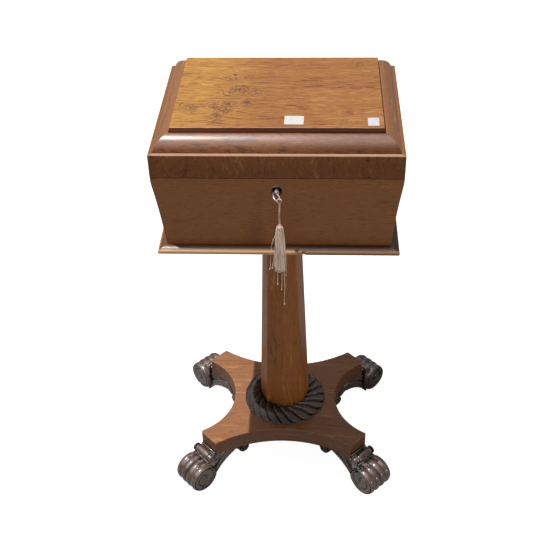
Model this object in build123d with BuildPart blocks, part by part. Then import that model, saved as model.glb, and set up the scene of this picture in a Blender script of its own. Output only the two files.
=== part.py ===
"""Teapoy: a locking tea chest of sarcophagus shape on an octagonal column, a twisted collar,
a concave-sided platform and four scroll feet.

Millimetres, +Z up. The origin is on the floor under the middle of the column, and the front,
with its keyhole, faces -Y.
"""

from build123d import *
from math import cos, radians, sin, sqrt
import os

os.makedirs("parts", exist_ok=True)

# ---------------------------------------------------------------- driving dimensions
# Every level of the case keeps one difference between half its width and half its depth,
# so one section runs round all four sides and the corners are mitred at 45 degrees.
WIDTH_LESS_DEPTH = 44.2  # half width less half depth

# Heights above the floor
PLATFORM_UNDER = 68.0
PLATFORM_TOP = 104.0
BEARER_UNDER = 578.0
BASE_UNDER = 596.0
CASE_UNDER = 607.0  # top of the base moulding, where the case sides stand
JOINT = 745.5  # where the lid meets the case
LID_SHOULDER = 787.0  # top of the lid's upright sides
CUSHION_TOP = 810.0
TOP = 818.0

# Half widths of the case at its levels
HALF_TOP = 200.8  # lid sides and the head of the case
HALF_FOOT = 187.0  # case sides where they stand on the base moulding
HALF_BASE = 201.6  # nose of the base moulding
HALF_CUSHION = 194.4  # outer edge of the cushion moulding
HALF_PANEL = 167.8  # raised top panel
HALF_INSIDE = 175.0  # inner face of the case sides
LID_SIDE_THICK = 16.0

# Pillar and base
COLUMN_HEAD_R = 34.4  # over the arrises, under the bearer
COLUMN_FOOT_R = 50.9  # over the arrises, on the platform
COLLAR_R = 84.0
LOBES = 20
COLLAR_SLANT = 34.0  # degrees that each lobe runs on between the pillar and the platform
ARM_X, ARM_Y = 165.7, 137.2  # tips of the platform's arms
ARM_CUT = 30.6  # the tips are cut off square across the arm
SIDE_WAIST = 105.2  # half width of the platform at its waist
FRONT_WAIST = 95.0  # half depth of the platform at its waist

# Scroll feet, in each arm's own plane: s runs outward from the cut tip, z is the height
VOLUTE_S, VOLUTE_Z, VOLUTE_R = 35.5, 33.0, 31.5
FOOT_HALF = 28.5  # the scroll is wider than its arm
ARM_HALF = 21.0
SOLE_IN, SOLE_OUT = 17.0, 31.0  # the flat that the foot stands on
CURL_S, CURL_Z, CURL_R = -75.0, 35.0, 12.0

# Lock and key
KEY_Z = 721.0
BOLT_TRAVEL = 6.0
KEY_TILT = 45.0  # the bow leans this far from upright, its left side up
TIE_Z = KEY_Z - 4.6  # where the tassel's loop hangs on the bow
TIE_X = 4.6
TIE_Y = -176.0

RUN_FIT = 0.05  # radial clearance of a pin that turns
GAP = 0.3  # clearance between pieces that only pass each other

PARTS = []  # every finished piece, written out at the end


def finish(piece, label):
    """Name a finished piece and keep it for export."""
    piece.part.label = label
    PARTS.append(piece)
    return piece


def box_between(low, high, mode=Mode.ADD):
    """A plain block given by its lowest and highest corners."""
    size = [b - a for a, b in zip(low, high)]
    middle = tuple((a + b) / 2 for a, b in zip(low, high))
    with Locations(middle):
        Box(*size, mode=mode)


def half_depth(half_width):
    return half_width - WIDTH_LESS_DEPTH


# ---------------------------------------------------------------- mitred frames
# A section is drawn with x = half width and y = height. Each side of the case sweeps it
# along one wall and is cut by the mitres.
SIDE_PLANES = {
    "right": Plane(origin=(0, 0, 0), x_dir=(1, 0, 0), z_dir=(0, -1, 0)),
    "left": Plane(origin=(0, 0, 0), x_dir=(-1, 0, 0), z_dir=(0, 1, 0)),
    "front": Plane(origin=(0, WIDTH_LESS_DEPTH, 0), x_dir=(0, -1, 0), z_dir=(-1, 0, 0)),
    "back": Plane(origin=(0, -WIDTH_LESS_DEPTH, 0), x_dir=(0, 1, 0), z_dir=(1, 0, 0)),
}
MITRE_REACH = 260.0
MITRE_DEPTH = half_depth(MITRE_REACH)
MITRES = {
    "right": [(WIDTH_LESS_DEPTH, 0), (MITRE_REACH, -MITRE_DEPTH), (MITRE_REACH, MITRE_DEPTH)],
    "front": [
        (-WIDTH_LESS_DEPTH, 0),
        (-MITRE_REACH, -MITRE_DEPTH),
        (MITRE_REACH, -MITRE_DEPTH),
        (WIDTH_LESS_DEPTH, 0),
    ],
}
MITRES["left"] = [(-x, -y) for x, y in MITRES["right"]]
MITRES["back"] = [(-x, -y) for x, y in MITRES["front"]]


def mitred_side(section, side):
    """One wall of a mitred frame, before any recesses are cut in it."""
    with BuildPart() as wall:
        with BuildSketch(SIDE_PLANES[side]):
            add(section.sketch)
        extrude(amount=MITRE_REACH, both=True)
        with BuildSketch(Plane.XY):
            Polygon(*MITRES[side], align=None)
        extrude(amount=TOP + 1, mode=Mode.INTERSECT)
    return wall.part


# ---------------------------------------------------------------- sections of the case
# Case side: upright inside, outside hollow below and rounded out to upright at the joint
with BuildSketch() as case_section:
    with BuildLine():
        Line((HALF_INSIDE, JOINT), (HALF_INSIDE, CASE_UNDER))
        Line((HALF_INSIDE, CASE_UNDER), (HALF_FOOT, CASE_UNDER))
        ThreePointArc((HALF_FOOT, CASE_UNDER), (192.1, 666.0), (199.0, 725.0))
        ThreePointArc((199.0, 725.0), (200.25, 735.5), (HALF_TOP, JOINT))
        Line((HALF_TOP, JOINT), (HALF_INSIDE, JOINT))
    make_face()

# Base moulding: a flat frame with a full round nose
BASE_THICK = CASE_UNDER - BASE_UNDER
BASE_INSIDE = 160.0
with BuildSketch() as base_section:
    with BuildLine():
        nose = HALF_BASE - BASE_THICK / 2
        Line((nose, CASE_UNDER), (BASE_INSIDE, CASE_UNDER))
        Line((BASE_INSIDE, CASE_UNDER), (BASE_INSIDE, BASE_UNDER))
        Line((BASE_INSIDE, BASE_UNDER), (nose, BASE_UNDER))
        ThreePointArc((nose, BASE_UNDER), (HALF_BASE, BASE_UNDER + BASE_THICK / 2), (nose, CASE_UNDER))
    make_face()

# Lid side: upright, with a small round on its upper outer edge
LID_EDGE_R = 2.2
LID_INSIDE = HALF_TOP - LID_SIDE_THICK
with BuildSketch() as lid_section:
    with BuildLine():
        Line((HALF_TOP, LID_SHOULDER - LID_EDGE_R), (HALF_TOP, JOINT))
        Line((HALF_TOP, JOINT), (LID_INSIDE, JOINT))
        Line((LID_INSIDE, JOINT), (LID_INSIDE, LID_SHOULDER))
        Line((LID_INSIDE, LID_SHOULDER), (HALF_TOP - LID_EDGE_R, LID_SHOULDER))
        JernArc(
            (HALF_TOP - LID_EDGE_R, LID_SHOULDER), tangent=(1, 0), radius=LID_EDGE_R, arc_size=-90
        )
    make_face()

# Cushion moulding: a convex slope up to a narrow flat against the panel
CUSHION_FLAT = 4.7
with BuildSketch() as cushion_section:
    with BuildLine():
        Line((HALF_CUSHION, LID_SHOULDER), (HALF_PANEL, LID_SHOULDER))
        Line((HALF_PANEL, LID_SHOULDER), (HALF_PANEL, CUSHION_TOP))
        Line((HALF_PANEL, CUSHION_TOP), (HALF_PANEL + CUSHION_FLAT, CUSHION_TOP))
        ThreePointArc(
            (HALF_PANEL + CUSHION_FLAT, CUSHION_TOP), (186.6, 800.8), (HALF_CUSHION, LID_SHOULDER)
        )
    make_face()

# ---------------------------------------------------------------- hinges
HINGE_X = 120.0  # middle of each hinge from the middle of the case
HINGE_LONG = 50.0
LEAF_THICK = 1.8
LEAF_DEEP = 18.0
KNUCKLE_R = 3.2
PIN_R = 1.5
PIN_Y = half_depth(HALF_TOP) + 3.4  # just clear of the back
MID_KNUCKLE = 18.0
LEAF_FRONT = PIN_Y - KNUCKLE_R - LEAF_DEEP
LEAF_BACK = PIN_Y - KNUCKLE_R - 0.1
END_KNUCKLE = (HINGE_LONG - MID_KNUCKLE) / 2 - GAP
END_KNUCKLE_X = MID_KNUCKLE / 2 + GAP + END_KNUCKLE / 2
HINGE_SIDES = (("left", -1), ("right", 1))


def hinge_round(middle_x, radius, long, mode=Mode.ADD):
    """A cylinder on the hinge's axis."""
    with Locations(Plane(origin=(middle_x, PIN_Y, JOINT), z_dir=(1, 0, 0))):
        Cylinder(radius, long, mode=mode)


for name, sign in HINGE_SIDES:
    mid = sign * HINGE_X
    # The case leaf carries the two end knuckles, with the pin riveted through them
    with BuildPart() as case_leaf:
        box_between(
            (mid - HINGE_LONG / 2, LEAF_FRONT, JOINT - 0.1 - LEAF_THICK),
            (mid + HINGE_LONG / 2, LEAF_BACK - 0.3, JOINT - 0.1),
        )
        for end in (-1, 1):
            knuckle_mid = mid + end * END_KNUCKLE_X
            box_between(
                (knuckle_mid - END_KNUCKLE / 2, LEAF_BACK - 0.4, JOINT - 0.1 - LEAF_THICK),
                (knuckle_mid + END_KNUCKLE / 2, PIN_Y - PIN_R - 0.4, JOINT - 0.1),
            )
            hinge_round(knuckle_mid, KNUCKLE_R, END_KNUCKLE)
        hinge_round(mid, PIN_R, HINGE_LONG)
    finish(case_leaf, f"hinge_leaf_case_{name}")

    # The lid leaf carries the middle knuckle, which turns on the pin
    with BuildPart() as lid_leaf:
        box_between(
            (mid - HINGE_LONG / 2, LEAF_FRONT, JOINT + 0.1),
            (mid + HINGE_LONG / 2, LEAF_BACK - 0.3, JOINT + 0.1 + LEAF_THICK),
        )
        box_between(
            (mid - MID_KNUCKLE / 2, LEAF_BACK - 0.4, JOINT + 0.1),
            (mid + MID_KNUCKLE / 2, PIN_Y - PIN_R - 0.4, JOINT + 0.1 + LEAF_THICK),
        )
        hinge_round(mid, KNUCKLE_R, MID_KNUCKLE)
        hinge_round(mid, PIN_R + RUN_FIT, MID_KNUCKLE, mode=Mode.SUBTRACT)
    finish(lid_leaf, f"hinge_leaf_lid_{name}")


def leaf_recess(low_z, high_z):
    """Housings for both leaves, cut in from the joint."""
    for _, sign in HINGE_SIDES:
        box_between(
            (sign * HINGE_X - HINGE_LONG / 2, LEAF_FRONT, low_z),
            (sign * HINGE_X + HINGE_LONG / 2, PIN_Y, high_z),
            mode=Mode.SUBTRACT,
        )


# ---------------------------------------------------------------- lock
LOCK_HALF_X = 38.0
SELVAGE_THICK = 2.0
BACK_PLATE_THICK = 2.0
INNER_FACE_Y = -half_depth(HALF_INSIDE)  # inner face of the case front
BACK_PLATE_Y = INNER_FACE_Y - BACK_PLATE_THICK
LOCK_DEEP = 9.0
LOCK_FRONT_Y = BACK_PLATE_Y - LOCK_DEEP
LOCK_CASE_HALF_X = 31.0
LOCK_CASE_WALL = 1.4
LOCK_LOW = KEY_Z - 12.0
LOCK_HIGH = JOINT - SELVAGE_THICK
HOOK_X = (-18.0, 22.0)
HOOK_THICK, HOOK_WIDE, HOOK_DEEP = 2.4, 6.0, 9.0
HOOK_Y = (BACK_PLATE_Y + LOCK_FRONT_Y) / 2
EYE = 3.8
EYE_Z = JOINT - 5.6
SLOT_X, SLOT_Y = 5.0, 8.4
SHANK_R = 2.5
BIT_R = 7.6

# Lock plate: an upright plate let into the inner face and a selvage flush with the rim
with BuildPart() as lock_plate:
    box_between((-LOCK_HALF_X, BACK_PLATE_Y, LOCK_LOW - 4), (LOCK_HALF_X, INNER_FACE_Y, JOINT))
    box_between((-LOCK_HALF_X, LOCK_FRONT_Y, LOCK_HIGH), (LOCK_HALF_X, BACK_PLATE_Y, JOINT))
    for x in HOOK_X:
        with Locations((x, HOOK_Y, JOINT)):
            Box(SLOT_X, SLOT_Y, 3 * SELVAGE_THICK, mode=Mode.SUBTRACT)
    with Locations(Plane(origin=(0, INNER_FACE_Y, KEY_Z), z_dir=(0, 1, 0))):
        Cylinder(SHANK_R + RUN_FIT, 3 * BACK_PLATE_THICK, mode=Mode.SUBTRACT)
finish(lock_plate, "lock_plate")

# Lock case: a tray on the plate, hollow for the bolt and the key's bit, with a keyhole
with BuildPart() as lock_case:
    box_between(
        (-LOCK_CASE_HALF_X, LOCK_FRONT_Y, LOCK_LOW), (LOCK_CASE_HALF_X, BACK_PLATE_Y, LOCK_HIGH)
    )
    box_between(
        (-LOCK_CASE_HALF_X + LOCK_CASE_WALL, LOCK_FRONT_Y + LOCK_CASE_WALL, LOCK_LOW + LOCK_CASE_WALL),
        (LOCK_CASE_HALF_X - LOCK_CASE_WALL, BACK_PLATE_Y, LOCK_HIGH),
        mode=Mode.SUBTRACT,
    )
    with BuildSketch(Plane(origin=(0, LOCK_FRONT_Y, KEY_Z), x_dir=(1, 0, 0), z_dir=(0, -1, 0))):
        Circle(SHANK_R + GAP)
        with Locations((0, -(BIT_R + GAP) / 2)):
            Rectangle(3.0, BIT_R + GAP)
    extrude(amount=2 * LOCK_CASE_WALL, both=True, mode=Mode.SUBTRACT)
finish(lock_case, "lock_case")

# Bolt: a bar with two upstanding fingers that slide into the eyes of the hooks
BAR_LOW, BAR_HIGH = KEY_Z + BIT_R + 0.7, KEY_Z + BIT_R + 4.2
FINGER_TIP = HOOK_THICK / 2 + 1.0  # clear of the hook when withdrawn
with BuildPart() as lock_bolt:
    box_between((-LOCK_CASE_HALF_X + 3, HOOK_Y - 1.3, BAR_LOW), (19.0, HOOK_Y + 1.3, BAR_HIGH))
    for x in HOOK_X:
        root = x - FINGER_TIP - 6.2
        box_between((root - 3, HOOK_Y - 1.3, BAR_LOW), (root, HOOK_Y + 1.3, EYE_Z + 1.3))
        box_between((root - 3, HOOK_Y - 1.3, EYE_Z - 1.3), (x - FINGER_TIP, HOOK_Y + 1.3, EYE_Z + 1.3))
    # Talon: two lugs under the bar, between which the key's bit sweeps
    for start in (-10.0, 1.0):
        box_between((start, HOOK_Y - 1.3, BAR_LOW - 2.6), (start + 3.0, HOOK_Y + 1.3, BAR_LOW))
finish(lock_bolt, "lock_bolt")

# Link plate: let into the lid, with two hooks that drop through the selvage into the lock
LINK_HALF_X, LINK_HALF_Y, LINK_THICK = 34.0, 5.0, 2.0
LINK_LOW = JOINT + 0.1
with BuildPart() as link_plate:
    box_between(
        (-LINK_HALF_X, HOOK_Y - LINK_HALF_Y, LINK_LOW), (LINK_HALF_X, HOOK_Y + LINK_HALF_Y, LINK_LOW + LINK_THICK)
    )
    for x in HOOK_X:
        box_between(
            (x - HOOK_THICK / 2, HOOK_Y - HOOK_WIDE / 2, JOINT - HOOK_DEEP),
            (x + HOOK_THICK / 2, HOOK_Y + HOOK_WIDE / 2, LINK_LOW),
        )
        with Locations((x, HOOK_Y, EYE_Z)):
            Box(2 * HOOK_THICK, EYE, EYE, mode=Mode.SUBTRACT)
finish(link_plate, "link_plate")

# ---------------------------------------------------------------- escutcheon and keyhole
# The front slopes a little at the keyhole, so the ring is set square to that slope
FRONT_LEAN = 6.8
KEYHOLE_Y = -half_depth(198.55)
RING_OUT_R, RING_IN_R, RING_DEEP = 11.2, 8.8, 2.4
RECESS_DEEP = 8.0
ring_plane = Plane(
    origin=(0, KEYHOLE_Y, KEY_Z),
    x_dir=(1, 0, 0),
    z_dir=(0, -cos(radians(FRONT_LEAN)), -sin(radians(FRONT_LEAN))),
)

with BuildPart() as escutcheon:
    with BuildSketch(ring_plane.offset(-RING_DEEP)):
        Circle(RING_OUT_R)
        Circle(RING_IN_R, mode=Mode.SUBTRACT)
    extrude(amount=RING_DEEP + 0.8)
finish(escutcheon, "escutcheon")

# ---------------------------------------------------------------- case sides
for side in ("left", "right"):
    with BuildPart() as case_wall:
        add(mitred_side(case_section, side))
    finish(case_wall, f"case_{side}")

with BuildPart() as case_front:
    add(mitred_side(case_section, "front"))
    # Housing of the lock, open at the rim and at the inner face
    box_between(
        (-LOCK_HALF_X, BACK_PLATE_Y, LOCK_LOW - 4), (LOCK_HALF_X, INNER_FACE_Y + 1, JOINT + 1), Mode.SUBTRACT
    )
    box_between(
        (-LOCK_HALF_X, LOCK_FRONT_Y, LOCK_HIGH), (LOCK_HALF_X, INNER_FACE_Y, JOINT + 1), Mode.SUBTRACT
    )
    box_between(
        (-LOCK_CASE_HALF_X, LOCK_FRONT_Y, LOCK_LOW), (LOCK_CASE_HALF_X, INNER_FACE_Y, JOINT), Mode.SUBTRACT
    )
    # Seat of the escutcheon, round recess within it, then the keyhole through to the lock
    with BuildSketch(ring_plane.offset(-RING_DEEP)):
        Circle(RING_OUT_R)
    extrude(amount=RING_DEEP * 3, mode=Mode.SUBTRACT)
    with BuildSketch(ring_plane.offset(-RECESS_DEEP)):
        Circle(RING_IN_R)
    extrude(amount=RECESS_DEEP * 2, mode=Mode.SUBTRACT)
    with BuildSketch(Plane(origin=(0, LOCK_FRONT_Y, KEY_Z), x_dir=(1, 0, 0), z_dir=(0, -1, 0))):
        Circle(SHANK_R + 0.8)
        with Locations((0, -(BIT_R + GAP) / 2)):
            Rectangle(3.6, BIT_R + GAP)
    extrude(amount=-KEYHOLE_Y + LOCK_FRONT_Y, mode=Mode.SUBTRACT)
finish(case_front, "case_front")

with BuildPart() as case_back:
    add(mitred_side(case_section, "back"))
    leaf_recess(JOINT - 0.1 - LEAF_THICK, JOINT + 1)
finish(case_back, "case_back")

# ---------------------------------------------------------------- base moulding and boards
for side in ("front", "back", "left", "right"):
    with BuildPart() as base_moulding:
        add(mitred_side(base_section, side))
    finish(base_moulding, f"base_moulding_{side}")

BEARER_HALF_X, BEARER_HALF_Y = 90.0, 75.0
with BuildPart() as base_board:
    box_between(
        (-BASE_INSIDE, -half_depth(BASE_INSIDE), BASE_UNDER), (BASE_INSIDE, half_depth(BASE_INSIDE), CASE_UNDER)
    )
finish(base_board, "base_board")

FLOOR_THICK = 8.0
FLOOR_TOP = CASE_UNDER + FLOOR_THICK
with BuildPart() as case_floor:
    box_between(
        (-HALF_INSIDE, INNER_FACE_Y, CASE_UNDER), (HALF_INSIDE, -INNER_FACE_Y, FLOOR_TOP)
    )
finish(case_floor, "case_floor")

# ---------------------------------------------------------------- interior: wells, caddies, bowls
PARTITION_X = 68.0  # middle of the partitions between caddies and bowls
PARTITION_THICK = 6.0
DECK_TOP = 696.0
DECK_THICK = 5.0
BOWL_X = (PARTITION_X + PARTITION_THICK / 2 + HALF_INSIDE) / 2
BOWL_HOLE_R = 46.5
BOWL_R = 45.6
BOWL_RIM_R = 49.5
BOWL_RIM_THICK = 3.5
BOWL_WALL = 3.6
BOWL_DEEP = 58.0
SIDES = (("left", -1), ("right", 1))

for name, sign in SIDES:
    with BuildPart() as partition:
        with Locations((sign * PARTITION_X, 0, (FLOOR_TOP + DECK_TOP) / 2)):
            Box(PARTITION_THICK, -2 * INNER_FACE_Y, DECK_TOP - FLOOR_TOP)
    finish(partition, f"partition_{name}")

    # Deck over each outer bay, with a round hole that carries a bowl by its rim
    inner_x = PARTITION_X + PARTITION_THICK / 2
    with BuildPart() as bowl_deck:
        with Locations((sign * BOWL_X, 0, DECK_TOP - DECK_THICK / 2)):
            Box(HALF_INSIDE - inner_x, -2 * INNER_FACE_Y, DECK_THICK)
            Cylinder(BOWL_HOLE_R, 2 * DECK_THICK, mode=Mode.SUBTRACT)
    finish(bowl_deck, f"bowl_deck_{name}")

    # Mixing bowl of cut glass: a turned cup with a flat rim
    with BuildPart() as mixing_bowl:
        with BuildSketch(Plane.XZ.offset(0)):
            with BuildLine():
                low = DECK_TOP - BOWL_DEEP
                rim_low, rim_high = DECK_TOP, DECK_TOP + BOWL_RIM_THICK
                Line((0, low), (16, low))
                ThreePointArc((16, low), (38.5, DECK_TOP - 35), (BOWL_R, rim_low))
                Line((BOWL_R, rim_low), (BOWL_RIM_R, rim_low))
                Line((BOWL_RIM_R, rim_low), (BOWL_RIM_R, rim_high))
                Line((BOWL_RIM_R, rim_high), (BOWL_R - BOWL_WALL, rim_high))
                ThreePointArc(
                    (BOWL_R - BOWL_WALL, rim_high), (35.0, DECK_TOP - 33), (13, low + BOWL_WALL + 1)
                )
                Line((13, low + BOWL_WALL + 1), (0, low + BOWL_WALL + 1))
                Line((0, low + BOWL_WALL + 1), (0, low))
            make_face()
        revolve(axis=Axis.Z)
    placed_bowl = Location((sign * BOWL_X, 0, 0)) * mixing_bowl.part
    with BuildPart() as bowl:
        add(placed_bowl)
    finish(bowl, f"mixing_bowl_{name}")

CROSS_THICK = 5.0
with BuildPart() as cross_partition:
    with Locations((0, 0, (FLOOR_TOP + DECK_TOP) / 2)):
        Box(2 * (PARTITION_X - PARTITION_THICK / 2), CROSS_THICK, DECK_TOP - FLOOR_TOP)
finish(cross_partition, "cross_partition")

CADDY_GAP = 0.8
CADDY_HALF_X = PARTITION_X - PARTITION_THICK / 2 - CADDY_GAP
CADDY_FAR_Y = -INNER_FACE_Y - CADDY_GAP
CADDY_NEAR_Y = CROSS_THICK / 2 + CADDY_GAP
CADDY_TOP = 700.0
CADDY_WALL = 5.0
CADDY_LID_THICK = 7.0
LIP_DEEP = 5.0
KNOB_R = 7.0

for name, sign in (("front", -1), ("back", 1)):
    near, far = sign * CADDY_NEAR_Y, sign * CADDY_FAR_Y
    low_y, high_y = min(near, far), max(near, far)
    middle_y = (near + far) / 2
    # Tea caddy: an open box that stands in its well
    with BuildPart() as caddy:
        box_between((-CADDY_HALF_X, low_y, FLOOR_TOP), (CADDY_HALF_X, high_y, CADDY_TOP))
        box_between(
            (-CADDY_HALF_X + CADDY_WALL, low_y + CADDY_WALL, FLOOR_TOP + CADDY_WALL),
            (CADDY_HALF_X - CADDY_WALL, high_y - CADDY_WALL, CADDY_TOP),
            mode=Mode.SUBTRACT,
        )
    finish(caddy, f"caddy_{name}")

    # Its lift-off lid, with a lip that drops inside the walls
    lip = CADDY_WALL + 0.5
    with BuildPart() as caddy_lid:
        box_between(
            (-CADDY_HALF_X, low_y, CADDY_TOP), (CADDY_HALF_X, high_y, CADDY_TOP + CADDY_LID_THICK)
        )
        top_rim = caddy_lid.faces().sort_by(Axis.Z)[-1].edges()
        chamfer(top_rim, length=1.5)
        box_between(
            (-CADDY_HALF_X + lip, low_y + lip, CADDY_TOP - LIP_DEEP), (CADDY_HALF_X - lip, high_y - lip, CADDY_TOP)
        )
    finish(caddy_lid, f"caddy_lid_{name}")

    # Turned knob on the lid
    knob_foot = CADDY_TOP + CADDY_LID_THICK
    with BuildPart() as knob:
        with BuildSketch(Plane.XZ):
            with BuildLine():
                Line((0, knob_foot), (3.8, knob_foot))
                Line((3.8, knob_foot), (3.8, knob_foot + 4.0))
                ThreePointArc((3.8, knob_foot + 4.0), (KNOB_R, knob_foot + 9.0), (3.8, knob_foot + 13.6))
                Line((3.8, knob_foot + 13.6), (0, knob_foot + 13.6))
                Line((0, knob_foot + 13.6), (0, knob_foot))
            make_face()
        revolve(axis=Axis.Z)
    placed_knob = Location((0, middle_y, 0)) * knob.part
    with BuildPart() as caddy_knob:
        add(placed_knob)
    finish(caddy_knob, f"caddy_knob_{name}")

# ---------------------------------------------------------------- lid
for side in ("left", "right"):
    with BuildPart() as lid_wall:
        add(mitred_side(lid_section, side))
    finish(lid_wall, f"lid_{side}")

with BuildPart() as lid_front:
    add(mitred_side(lid_section, "front"))
    box_between(
        (-LINK_HALF_X, HOOK_Y - LINK_HALF_Y, JOINT - 1),
        (LINK_HALF_X, INNER_FACE_Y, LINK_LOW + LINK_THICK),
        mode=Mode.SUBTRACT,
    )
finish(lid_front, "lid_front")

with BuildPart() as lid_back:
    add(mitred_side(lid_section, "back"))
    leaf_recess(JOINT - 1, JOINT + 0.1 + LEAF_THICK)
finish(lid_back, "lid_back")

for side in ("front", "back", "left", "right"):
    with BuildPart() as cushion:
        add(mitred_side(cushion_section, side))
    finish(cushion, f"cushion_{side}")

GROUND_UNDER = LID_SHOULDER - 12.0
PANEL_CORNER = 2.0
PANEL_EDGE = 1.2


with BuildPart() as lid_ground:
    with BuildSketch(Plane.XY.offset(GROUND_UNDER)):
        Rectangle(2 * LID_INSIDE, 2 * half_depth(LID_INSIDE))
    extrude(amount=LID_SHOULDER - GROUND_UNDER)
finish(lid_ground, "lid_ground")

with BuildPart() as lid_panel:
    with BuildSketch(Plane.XY.offset(LID_SHOULDER)):
        Rectangle(2 * HALF_PANEL, 2 * half_depth(HALF_PANEL))
    extrude(amount=TOP - LID_SHOULDER)
    fillet(lid_panel.faces().sort_by(Axis.Z)[-1].edges(), radius=PANEL_EDGE)
finish(lid_panel, "lid_panel")

# ---------------------------------------------------------------- pillar
TENON_R, HEAD_TENON_R = 17.0, 14.0
HEAD_TENON = 12.0
with BuildPart() as column:
    with BuildSketch(Plane.XY.offset(PLATFORM_TOP)):
        RegularPolygon(COLUMN_FOOT_R, 8)
    with BuildSketch(Plane.XY.offset(BEARER_UNDER)):
        RegularPolygon(COLUMN_HEAD_R, 8)
    loft()
    with BuildSketch(Plane.XY.offset(PLATFORM_UNDER)):
        RegularPolygon(TENON_R, 8)
    extrude(amount=PLATFORM_TOP - PLATFORM_UNDER)
    with BuildSketch(Plane.XY.offset(BEARER_UNDER)):
        RegularPolygon(HEAD_TENON_R, 8)
    extrude(amount=HEAD_TENON)
finish(column, "column")

with BuildPart() as bearer:
    with BuildSketch(Plane.XY.offset(BEARER_UNDER)):
        Rectangle(2 * BEARER_HALF_X, 2 * BEARER_HALF_Y)
    extrude(amount=BASE_UNDER - BEARER_UNDER)
    chamfer(bearer.faces().sort_by(Axis.Z)[0].edges(), length=4.0)
    with BuildSketch(Plane.XY.offset(BEARER_UNDER)):
        RegularPolygon(HEAD_TENON_R, 8)
    extrude(amount=HEAD_TENON, mode=Mode.SUBTRACT)
finish(bearer, "bearer")


# ---------------------------------------------------------------- twisted collar
# Lobes lie side by side round a low domed ring. Between them run V-shaped grooves, slanted
# across the crown of the ring and down over its outer edge.
def collar_point(r, swing, z):
    return Vector(r * cos(radians(swing)), r * sin(radians(swing)), z)


def groove_run(start, end):
    """A V-shaped cutter whose edge runs from start to end, opening upward and outward."""
    run = (end - start).normalized()
    outward = Vector(start.X + end.X, start.Y + end.Y, 0).normalized()
    level = (Vector(0, 0, 1) + outward * 0.6).cross(run).normalized()
    with BuildSketch(Plane(origin=start - run * GROOVE_OVERRUN, x_dir=level, z_dir=run)) as vee:
        Polygon((0, 0), (GROOVE_HALF, GROOVE_RISE), (-GROOVE_HALF, GROOVE_RISE), align=None)
    extrude(vee.sketch, amount=(end - start).length + 2 * GROOVE_OVERRUN, dir=run)


GROOVE_HALF, GROOVE_RISE, GROOVE_OVERRUN = 8.5, 9.0, 1.5
GROOVE_PLACES = (
    collar_point(46.0, 0.0, PLATFORM_TOP + 16.0),
    collar_point(74.0, COLLAR_SLANT * 0.62, PLATFORM_TOP + 14.0),
    collar_point(84.5, COLLAR_SLANT, PLATFORM_TOP - 4.0),
)
COLLAR_SECTION = (
    (44.0, PLATFORM_TOP),
    (44.0, PLATFORM_TOP + 20.0),
    (60.0, PLATFORM_TOP + 22.2),
    (75.0, PLATFORM_TOP + 18.0),
    (COLLAR_R, PLATFORM_TOP + 7.0),
    (COLLAR_R - 1.5, PLATFORM_TOP),
)
with BuildPart() as grooves:
    groove_run(GROOVE_PLACES[0], GROOVE_PLACES[1])
    groove_run(GROOVE_PLACES[1], GROOVE_PLACES[2])

with BuildPart() as rope_collar:
    with BuildSketch(Plane.XZ):
        Polygon(*COLLAR_SECTION, align=None)
    revolve(axis=Axis.Z)
    with PolarLocations(0, LOBES):
        add(grooves.part, mode=Mode.SUBTRACT)
    add(column.part, mode=Mode.SUBTRACT)
finish(rope_collar, "rope_collar")

# ---------------------------------------------------------------- platform
TIP_X, TIP_Y = ARM_X - ARM_CUT, ARM_Y - ARM_CUT
STEP_Y = 101.5  # where the hollow side starts, just inside the tip
with BuildSketch() as platform_plan:
    with BuildLine():
        ThreePointArc((-TIP_X, -ARM_Y), (0, -FRONT_WAIST), (TIP_X, -ARM_Y))
        Line((TIP_X, -ARM_Y), (ARM_X, -TIP_Y))
        Line((ARM_X, -TIP_Y), (ARM_X, -STEP_Y))
        ThreePointArc((ARM_X, -STEP_Y), (SIDE_WAIST, 0), (ARM_X, STEP_Y))
        Line((ARM_X, STEP_Y), (ARM_X, TIP_Y))
        Line((ARM_X, TIP_Y), (TIP_X, ARM_Y))
        ThreePointArc((TIP_X, ARM_Y), (0, FRONT_WAIST), (-TIP_X, ARM_Y))
        Line((-TIP_X, ARM_Y), (-ARM_X, TIP_Y))
        Line((-ARM_X, TIP_Y), (-ARM_X, STEP_Y))
        ThreePointArc((-ARM_X, STEP_Y), (-SIDE_WAIST, 0), (-ARM_X, -STEP_Y))
        Line((-ARM_X, -STEP_Y), (-ARM_X, -TIP_Y))
        Line((-ARM_X, -TIP_Y), (-TIP_X, -ARM_Y))
    make_face()

TENON_WIDE, TENON_LONG, TENON_HIGH, TENON_IN_FOOT = 12.0, 24.0, 36.0, 16.0
TENON_BACK = 26.0  # from the cut tip in along the arm
TIP_MID = (ARM_X - ARM_CUT / 2, ARM_Y - ARM_CUT / 2)
foot_tenon_x, foot_tenon_y = (c - TENON_BACK / sqrt(2) for c in TIP_MID)
with BuildPart() as foot_tenons:
    with BuildSketch(Plane.XY.offset(PLATFORM_UNDER - TENON_IN_FOOT)):
        for sign_x in (-1, 1):
            for sign_y in (-1, 1):
                with Locations(Location((sign_x * foot_tenon_x, sign_y * foot_tenon_y), sign_x * sign_y * 45)):
                    Rectangle(TENON_LONG, TENON_WIDE)
    extrude(amount=TENON_HIGH)
finish(foot_tenons, "foot_tenons")

with BuildPart() as platform:
    with BuildSketch(Plane.XY.offset(PLATFORM_UNDER)):
        add(platform_plan.sketch)
    extrude(amount=PLATFORM_TOP - PLATFORM_UNDER)
    with BuildSketch(Plane.XY.offset(PLATFORM_UNDER)):
        RegularPolygon(TENON_R, 8)
    extrude(amount=PLATFORM_TOP - PLATFORM_UNDER, mode=Mode.SUBTRACT)
    add(foot_tenons.part, mode=Mode.SUBTRACT)
finish(platform, "platform")

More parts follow.
